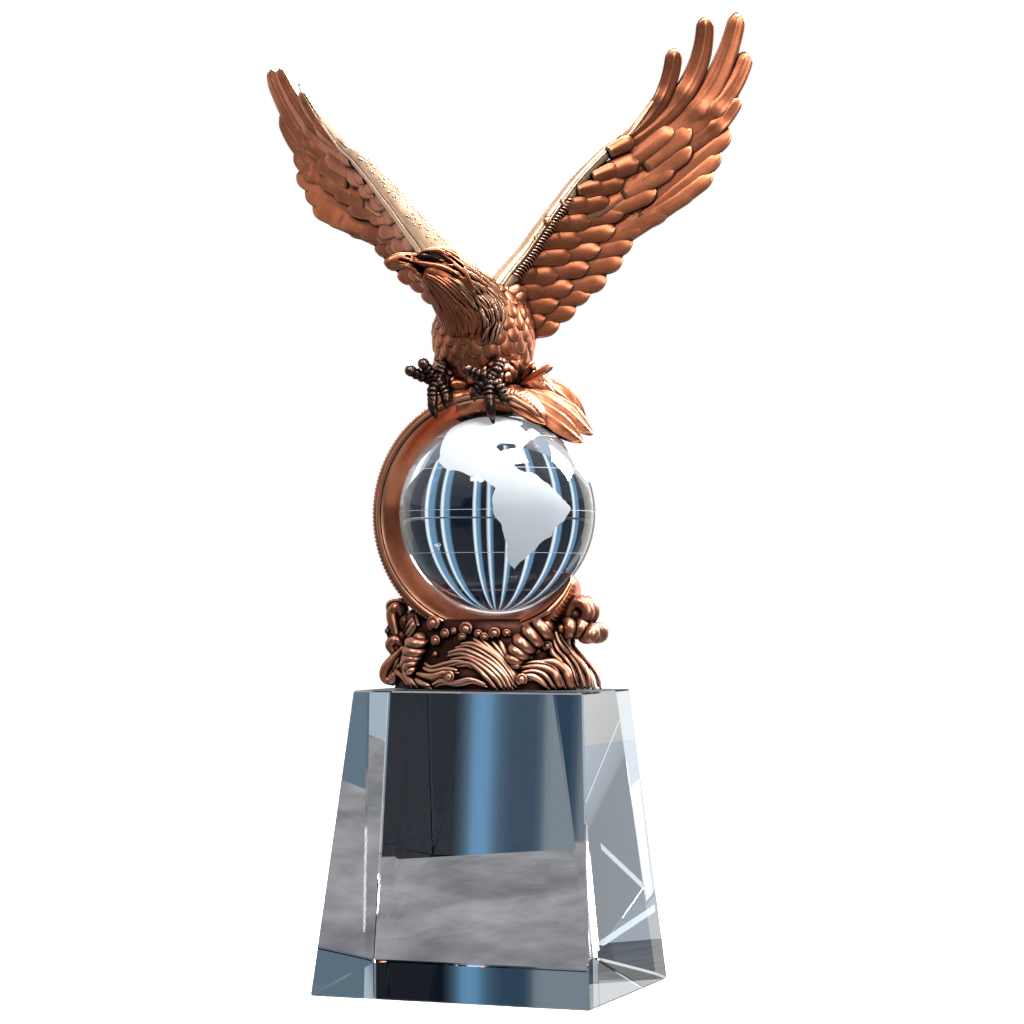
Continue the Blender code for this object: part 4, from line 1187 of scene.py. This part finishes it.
def land_piece(name, outline, material):
    """One frosted land: a thin shell just proud of the ball."""
    coast = rough_coast(outline)
    low, high = coast.min(axis=0), coast.max(axis=0)
    inner = []
    for row, up in enumerate(np.arange(low[0], high[0], 2.5)):
        for round_ in np.arange(low[1] + 1.25 * (row % 2), high[1], 2.5):
            spot = np.array([up, round_])
            if inside(spot, coast) and np.abs(coast - spot).max(axis=1).min() > 0.9:
                inner.append(spot)
    count = len(coast)
    spots = [Vector((p[1], p[0])) for p in [*coast, *inner]]
    ring = [(i, (i + 1) % count) for i in range(count)]
    flat, _, faces, _, _, _ = geometry.delaunay_2d_cdt(spots, ring, [], 1, 1e-5)
    degrees = np.array([(p.y, p.x) for p in flat])
    top = on_globe(degrees, GLOBE_RADIUS + LAND_PROUD)
    below = on_globe(degrees, GLOBE_RADIUS + SHELL_UNDERSIDE)
    size = len(flat)
    edges = {}
    for face in faces:
        for a, b in zip(face, face[1:] + face[:1]):
            edges[(a, b)] = edges.get((a, b), 0) + 1
    rim = [(a, b) for a, b in edges if (b, a) not in edges]
    solid = [tuple(face) for face in faces] + [tuple(i + size for i in reversed(face)) for face in faces]
    solid += [(b, a, a + size, b + size) for a, b in rim]
    mesh = bpy.data.meshes.new(name)
    mesh.from_pydata((np.concatenate([top, below]) * MM).tolist(), [], solid)
    face_outward(mesh)
    mesh.set_sharp_from_angle(angle=math.radians(60))
    add_piece(name, mesh, material, "globe")


def inside(spot, outline):
    """Whether a spot lies within a closed outline."""
    x, y = spot[1], spot[0]
    x0, y0 = outline[:, 1], outline[:, 0]
    x1, y1 = np.roll(x0, -1), np.roll(y0, -1)
    crosses = (y0 > y) != (y1 > y)
    reach = x0 + (y - y0) / np.where(crosses, y1 - y0, 1.0) * (x1 - x0)
    return np.count_nonzero(crosses & (x < reach)) % 2 == 1


def make_globe(crystal, frost):
    """The crystal ball, with its frosted lands and parallels."""
    add_piece("crystal_ball", ball_mesh("crystal_ball"), crystal, "globe")
    for name, outline in (("americas", AMERICAS), ("africa", AFRICA), ("eurasia", EURASIA),
                          ("australia", AUSTRALIA)):
        land_piece(name, outline, frost)
    lines = Clay()
    for up in PARALLELS:
        turn = np.linspace(0, 360, 181)[:-1]
        corners = []
        for shift, proud in ((-0.16, SHELL_UNDERSIDE), (0.16, SHELL_UNDERSIDE), (0.16, LINE_PROUD),
                             (-0.16, LINE_PROUD)):
            degrees = np.stack([np.full(180, up + shift), turn], axis=-1)
            corners.append(on_globe(degrees, GLOBE_RADIUS + proud))
        lines.skin(np.stack(corners, axis=1), closed=True)
    add_piece("parallels", lines.mesh("parallels"), frost, "globe")


# Slim facets that slant down the block's back. Each is cut through three places: the share of the half width,
# the millimetres in from the back face, and 1 at the top or 0 at the foot
FACETS = (
    ((-0.79, 0.0, 1), (-1.0, 1.7, 1), (-0.91, 0.0, 0)),
    ((0.45, 0.0, 1), (1.0, 2.6, 1), (0.62, 0.0, 0)),
)
GROUND_EDGE = 0.45


def block_sizes():
    """The block's half sizes at the top and at the foot, and its height, from the frame."""
    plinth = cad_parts["plinth"]
    spots = np.array([plinth.matrix_world @ vertex.co for vertex in plinth.data.vertices]) / MM
    height = spots[:, 2].max()
    top = np.abs(spots[spots[:, 2] > height - 1.2][:, :2]).max(axis=0)
    foot = np.abs(spots[spots[:, 2] < 1.2][:, :2]).max(axis=0)
    return top, foot, height


def plinth_piece(crystal):
    """The tapered block, with slim facets down its back and a ground line along every edge."""
    top, foot, height = block_sizes()
    block = bmesh.new()
    corners = [block.verts.new((sx * half[0] * MM, sy * half[1] * MM, z * MM))
               for z, half in ((0.0, foot), (height, top)) for sx, sy in ((-1, -1), (1, -1), (1, 1), (-1, 1))]
    for ring in ((0, 3, 2, 1), (4, 5, 6, 7), (0, 1, 5, 4), (1, 2, 6, 5), (2, 3, 7, 6), (3, 0, 4, 7)):
        block.faces.new([corners[i] for i in ring])
    for facet in FACETS:
        a, b, c = (Vector((across * (top if at_top else foot)[0], (top if at_top else foot)[1] - inset,
                           height * at_top)) * MM for across, inset, at_top in facet)
        normal = (b - a).cross(c - a).normalized()
        if normal.y < 0:
            normal = -normal
        geom = block.verts[:] + block.edges[:] + block.faces[:]
        bmesh.ops.bisect_plane(block, geom=geom, plane_co=a, plane_no=normal, clear_outer=True)
    corners = [vertex.co.copy() for vertex in block.verts]
    block.free()
    block = bmesh.new()
    for corner in corners:
        block.verts.new(corner)
    bmesh.ops.remove_doubles(block, verts=block.verts, dist=0.02 * MM)
    bmesh.ops.convex_hull(block, input=block.verts)
    bmesh.ops.dissolve_limit(block, angle_limit=math.radians(0.5), verts=block.verts, edges=block.edges)
    bmesh.ops.bevel(block, geom=block.edges[:], offset=GROUND_EDGE * MM, segments=1, affect="EDGES")
    bmesh.ops.recalc_face_normals(block, faces=block.faces)
    mesh = bpy.data.meshes.new("crystal_block")
    block.to_mesh(mesh)
    block.free()
    add_piece("crystal_block", mesh, crystal, "plinth")


# Stage

CAMERA_PLACE = (0.3086, -0.8038, 0.118)
CAMERA_TILT = math.radians(91.77)
CAMERA_TURN = math.radians(20.64)
CAMERA_LENS = 98.9
BEHIND = Vector((-math.sin(CAMERA_TURN), math.cos(CAMERA_TURN), 0))     # level, straight away from the camera
ACROSS = Vector((math.cos(CAMERA_TURN), math.sin(CAMERA_TURN), 0))
FACING = (math.pi / 2, 0, CAMERA_TURN)                  # the turn of an upright panel that faces the camera


def off_camera(panel):
    """Hide a stage panel from the camera, and keep it from casting shadows or lighting dull surfaces."""
    panel.visible_camera = False
    panel.visible_shadow = False
    panel.visible_diffuse = False


def card(name, size, place, turn, material, hidden=True, glossy=False):
    """A flat stage panel. A hidden one shows only through the crystal, or with glossy also in reflections."""
    mesh = bpy.data.meshes.new(name)
    wide, high = size[0] / 2, size[1] / 2
    corners = [(-wide, -high, 0), (wide, -high, 0), (wide, high, 0), (-wide, high, 0)]
    mesh.from_pydata(corners, [], [(0, 1, 2, 3)])
    panel = bpy.data.objects.new(name, mesh)
    bpy.context.scene.collection.objects.link(panel)
    panel.location = place
    panel.rotation_euler = turn
    mesh.materials.append(material)
    if hidden:
        off_camera(panel)
        panel.visible_glossy = glossy
    return panel


def glowing(n, colour, strength):
    """Make a material black, without a gloss, but for its own glow."""
    n.link(colour, n.shader.inputs["Emission Color"])
    n.plain(Base_Color=(0, 0, 0, 1), Emission_Strength=strength, Specular_IOR_Level=0.0)
    return n.material


def glow_material(name, stops, strength):
    """A panel that glows in soft bands from one side to the other."""
    n = Nodes(name)
    split = n.add("ShaderNodeSeparateXYZ")
    n.link(n.add("ShaderNodeTexCoord").outputs["Generated"], split.inputs[0])
    n.plain(Roughness=1.0)
    return glowing(n, n.ramp(split.outputs["X"], stops), strength)


def plain_glow(name, colour, strength=1.0):
    """A panel that glows in one colour."""
    return glow_material(name, [(0.0, colour), (1.0, colour)], strength)


def make_world():
    """White behind the object, and for its light a studio that is dim below and bright above."""
    world = bpy.data.worlds.new("studio")
    world.use_nodes = True
    tree = world.node_tree
    back = tree.nodes["Background"]
    place = tree.nodes.new("ShaderNodeTexCoord")
    split = tree.nodes.new("ShaderNodeSeparateXYZ")
    ramp = tree.nodes.new("ShaderNodeValToRGB")
    tree.links.new(place.outputs["Generated"], split.inputs[0])
    tree.links.new(split.outputs["Z"], ramp.inputs["Fac"])
    steps = ramp.color_ramp.elements
    steps[0].position, steps[0].color = 0.0, (0.20, 0.21, 0.22, 1)
    steps[1].position, steps[1].color = 1.0, (0.95, 0.98, 1.0, 1)
    for spot, value in ((0.25, 0.20), (0.47, 0.36), (0.62, 0.75)):
        steps.new(spot).color = (value, value, value, 1)
    tree.links.new(ramp.outputs["Color"], back.inputs["Color"])
    back.inputs["Strength"].default_value = 1.0
    seen = tree.nodes.new("ShaderNodeBackground")
    seen.inputs["Color"].default_value = (1, 1, 1, 1)
    path = tree.nodes.new("ShaderNodeLightPath")
    choose = tree.nodes.new("ShaderNodeMixShader")
    tree.links.new(path.outputs["Is Camera Ray"], choose.inputs[0])
    tree.links.new(back.outputs[0], choose.inputs[1])
    tree.links.new(seen.outputs[0], choose.inputs[2])
    tree.links.new(choose.outputs[0], tree.nodes["World Output"].inputs["Surface"])
    bpy.context.scene.world = world


# Each lamp's name, place, size and power
LAMPS = (
    ("key", (-0.15, -1.25, 1.25), (0.45, 0.35), 12),
    ("top", (0.38, -0.24, 1.15), (0.5, 0.4), 20),
    ("side", (0.95, -0.75, 0.62), (0.5, 0.6), 8),
    ("fill", (-1.3, -0.4, 0.45), (0.3, 0.9), 1.0),
    ("rim", (0.75, 0.85, 0.95), (0.6, 0.5), 60),
    ("back", (-0.5, 1.0, 1.0), (0.5, 0.4), 26),
)
LAMP_AIM = (0, 0, 0.19)


def light(name, place, size, power):
    """An oblong lamp that shines on the eagle."""
    lamp = bpy.data.lights.new(name, "AREA")
    lamp.shape = "RECTANGLE"
    lamp.size, lamp.size_y = size
    lamp.energy = power
    item = bpy.data.objects.new(name, lamp)
    item.location = place
    item.rotation_euler = (Vector(LAMP_AIM) - Vector(place)).to_track_quat("-Z", "Y").to_euler()
    bpy.context.scene.collection.objects.link(item)


BLACK = (0.002, 0.004, 0.008)
NAVY = (0.003, 0.007, 0.016)
DUSK = (0.026, 0.056, 0.095)
STEEL = (0.055, 0.11, 0.165)
SLATE = (0.105, 0.160, 0.210)
TEAL = (0.13, 0.21, 0.27)
GREY = (0.19, 0.23, 0.27)
HAZE = (0.42, 0.50, 0.58)
BRIGHT_BLUE = (0.12, 0.28, 0.47)
MIST = (0.58, 0.65, 0.72)
GLEAM = (1.45, 1.60, 1.75)
SHADE = (0.04, 0.05, 0.065)
PALE = (0.80, 0.92, 1.0)
WARM = (1.0, 0.96, 0.90)


def bands(width, stripes, ground):
    """Colour stops across a panel, from stripes given by their middle, width, core colour and edge colour."""
    stops = [(0.0, ground)]
    for middle, wide, core, edge in sorted(stripes):
        place = middle / width + 0.5
        half = wide / width / 2
        stops += [(place - 2.0 * half, ground), (place - 1.5 * half, edge), (place - 0.3 * half, edge),
                  (place - 0.1 * half, core), (place + 0.6 * half, core), (place + 0.9 * half, ground)]
    return stops + [(1.0, ground)]


# Where the two bright streaks show on the block's right side: millimetres back from its middle, and up
STREAKS = (((-17.4, 45.3), (18.8, 30.2)), ((-32.2, 16.7), (28.9, 22.5)))
STREAK_WIDTH = 0.0026
STREAK_DEPTH = 0.150                                    # metres behind the block's middle


def mirrored_spot(back, up):
    """Where the sight line that is mirrored in a spot on the block's right side meets the streaks' plane."""
    top, foot, height = block_sizes()
    lean = (foot[0] - top[0]) / height
    spot = Vector((foot[0] - lean * up, back, up)) * MM
    sight = (spot - Vector(CAMERA_PLACE)).reflect(Vector((1, 0, lean)).normalized())
    return spot + sight * ((STREAK_DEPTH - spot.dot(BEHIND)) / sight.dot(BEHIND))


def streak(name, start, end):
    """A thin bright slanted card that shows only as a reflection."""
    mesh = bpy.data.meshes.new(name)
    rise = Vector((0, 0, STREAK_WIDTH / 2))
    mesh.from_pydata([start - rise, end - rise, end + rise, start + rise], [], [(0, 1, 2, 3)])
    mesh.materials.append(plain_glow(name, PALE, 4.6))
    panel = bpy.data.objects.new(name, mesh)
    bpy.context.scene.collection.objects.link(panel)
    off_camera(panel)
    panel.visible_transmission = False


def make_floor():
    """A pale floor for the camera, and a dimmer one that shows only through the crystal."""
    pale = Nodes("pale_floor")
    pale.plain(Base_Color=(0.86, 0.86, 0.86, 1), Roughness=0.7, Emission_Color=(1, 1, 1, 1),
               Emission_Strength=0.62)
    floor = card("floor", (12, 12), (0, 0, -0.0004), (0, 0, 0), pale.material, hidden=False)
    floor.visible_glossy = False
    floor.visible_transmission = False
    card("ground", (3, 3), (0, 0, -0.0003), (0, 0, 0), plain_glow("ground", MIST))


# The colours across the low panel behind the block, from its left end to its right end
LOW_STOPS = [(0.0, HAZE), (0.415, HAZE), (0.42, TEAL), (0.444, TEAL), (0.448, BLACK), (0.486, BLACK),
             (0.492, STEEL), (0.497, BRIGHT_BLUE), (0.503, BRIGHT_BLUE), (0.510, STEEL), (0.518, DUSK),
             (0.534, DUSK), (0.540, GREY), (0.595, GREY), (0.605, SLATE), (0.70, SLATE), (0.71, HAZE),
             (0.75, HAZE), (0.76, GLEAM), (0.85, GLEAM), (0.86, HAZE), (1.0, HAZE)]

# The middle and the width of each pale stripe on the two tall panels, in metres
LEFT_STRIPES = ((0.068, 0.026), (0.124, 0.014), (0.163, 0.009), (0.189, 0.005))
RIGHT_STRIPES = ((-0.192, 0.004), (-0.178, 0.006), (-0.136, 0.012), (-0.100, 0.022))


def make_backdrops():
    """The panels behind the object that its crystal shows: one low, and two tall ones side by side."""
    spot = BEHIND * 0.155
    card("low_backdrop", (0.6, 0.075), (spot.x, spot.y, 0.0375), FACING,
         glow_material("low_backdrop", LOW_STOPS, 1.0), glossy=True)
    span = 0.4
    for name, middle, stripes in (("left_backdrop", -0.2, LEFT_STRIPES),
                                  ("right_backdrop", 0.2, RIGHT_STRIPES)):
        spot = BEHIND * 0.19 + ACROSS * middle
        colours = [(place, wide, PALE, BRIGHT_BLUE) for place, wide in stripes]
        card(name, (span, 0.95), (spot.x, spot.y, 0.505), FACING,
             glow_material(name, bands(span, colours, NAVY), 1.0))


def make_table():
    """The mottled table top that shows through the block."""
    n = Nodes("table")
    cloud = n.add("ShaderNodeTexNoise", Scale=26.0, Detail=5.0, Roughness=0.6)
    n.link(n.add("ShaderNodeTexCoord").outputs["Object"], cloud.inputs["Vector"])
    mottle = n.ramp(cloud.outputs["Fac"], [(0.33, (0.15, 0.155, 0.17)), (0.50, (0.27, 0.27, 0.285)),
                                           (0.67, (0.40, 0.40, 0.42))])
    spot = BEHIND * 0.105
    card("table", (0.5, 0.17), (spot.x, spot.y, -0.0002), (0, 0, CAMERA_TURN), glowing(n, mottle, 1.0),
         glossy=True)


def make_reflections():
    """What the object's gloss shows: a dark panel in front, the streaks, and a warm panel on either side."""
    shade = BEHIND * -0.30
    card("front_shade", (0.20, 0.24), (shade.x - 0.26, shade.y - 0.10, 0.15), (math.pi / 2, 0, -CAMERA_TURN),
         plain_glow("front_shade", SHADE), glossy=True)
    for i, ends in enumerate(STREAKS):
        start, end = (mirrored_spot(back, up) for back, up in ends)
        streak("streak_%d" % i, start, end)
    distance = 1.25
    for name, swing, glow in (("left_rim", 42, 0.9), ("right_rim", -40, 2.0)):
        turn = CAMERA_TURN + math.radians(swing)
        place = (-distance * math.sin(turn), distance * math.cos(turn), 0.55)
        rim = card(name, (0.7, 1.5), place, (math.pi / 2, 0, turn), plain_glow(name, WARM, glow), glossy=True)
        rim.visible_transmission = False


def make_camera():
    """The camera, fitted to the photo."""
    camera = bpy.data.objects.new("camera", bpy.data.cameras.new("camera"))
    camera.location = CAMERA_PLACE
    camera.rotation_euler = (CAMERA_TILT, 0, CAMERA_TURN)
    camera.data.lens = CAMERA_LENS
    camera.data.sensor_width = 36
    bpy.context.scene.collection.objects.link(camera)
    bpy.context.scene.camera = camera


def make_stage():
    """Floor, surroundings, lamps, panels and camera."""
    make_floor()
    make_world()
    for lamp in LAMPS:
        light(*lamp)
    make_backdrops()
    make_table()
    make_reflections()
    make_camera()


# The colour in the copper's crevices: partly patina, partly painted shade
PATINA_AND_SHADE = (0.008, 0.0025, 0.0025)


def main():
    """Build the stage and every piece, in one fixed order because the pieces share the random numbers."""
    make_stage()
    copper = copper_material("antique_copper", (0.54, 0.172, 0.082), PATINA_AND_SHADE, (0.98, 0.60, 0.40))
    wet = copper_material("wave_copper", (0.36, 0.110, 0.058), PATINA_AND_SHADE, (0.92, 0.52, 0.36))
    soft = copper_material("soft_copper", (0.43, 0.125, 0.058), PATINA_AND_SHADE, (0.66, 0.27, 0.15))
    dark = copper_material("deep_copper", (0.045, 0.017, 0.012), (0.004, 0.002, 0.002), (0.30, 0.13, 0.09))
    bronze = copper_material("dark_copper", (0.032, 0.018, 0.015), (0.004, 0.003, 0.003), (0.30, 0.18, 0.14),
                             shine=0.26)
    # A paler copy of the copper for the wings' arms: partly wear, partly a painted highlight where the top and
    # back light strike the leading edges.
    rubbed_and_highlit = copper_material("rubbed_highlit_copper", (0.86, 0.56, 0.37), (0.030, 0.012, 0.008), (1.0, 0.80, 0.62),
                             reach=1.2)
    crystal = crystal_material("clear_crystal")
    ball_crystal = crystal_material("globe_crystal")
    frost = frost_material("frosted_crystal")
    wing_piece("right_wing", Wing((5.2, 1.5, 43.3)), copper, rubbed_and_highlit)
    turn = Matrix.Rotation(math.radians(-12), 3, "Y") @ Matrix.Rotation(math.radians(-11), 3, "Z")
    wing_piece("left_wing", Wing((-21.0, 1.0, 52.2), left=True, turn=turn), copper, rubbed_and_highlit)
    torso_piece(copper)
    neck_piece(copper, soft)
    head_piece(copper)
    eyes_piece(bronze, copper)
    feet_piece(bronze)
    tail_piece(copper)
    perch_piece(copper)
    crescent_piece(copper_material("ring_copper", (0.56, 0.185, 0.092), PATINA_AND_SHADE, (1.0, 0.66, 0.47), shine=0.30,
                                   alone=True))
    waves_piece(wet, dark)
    make_globe(ball_crystal, frost)
    plinth_piece(crystal)
    bpy.context.scene.view_settings.view_transform = "Standard"


main()
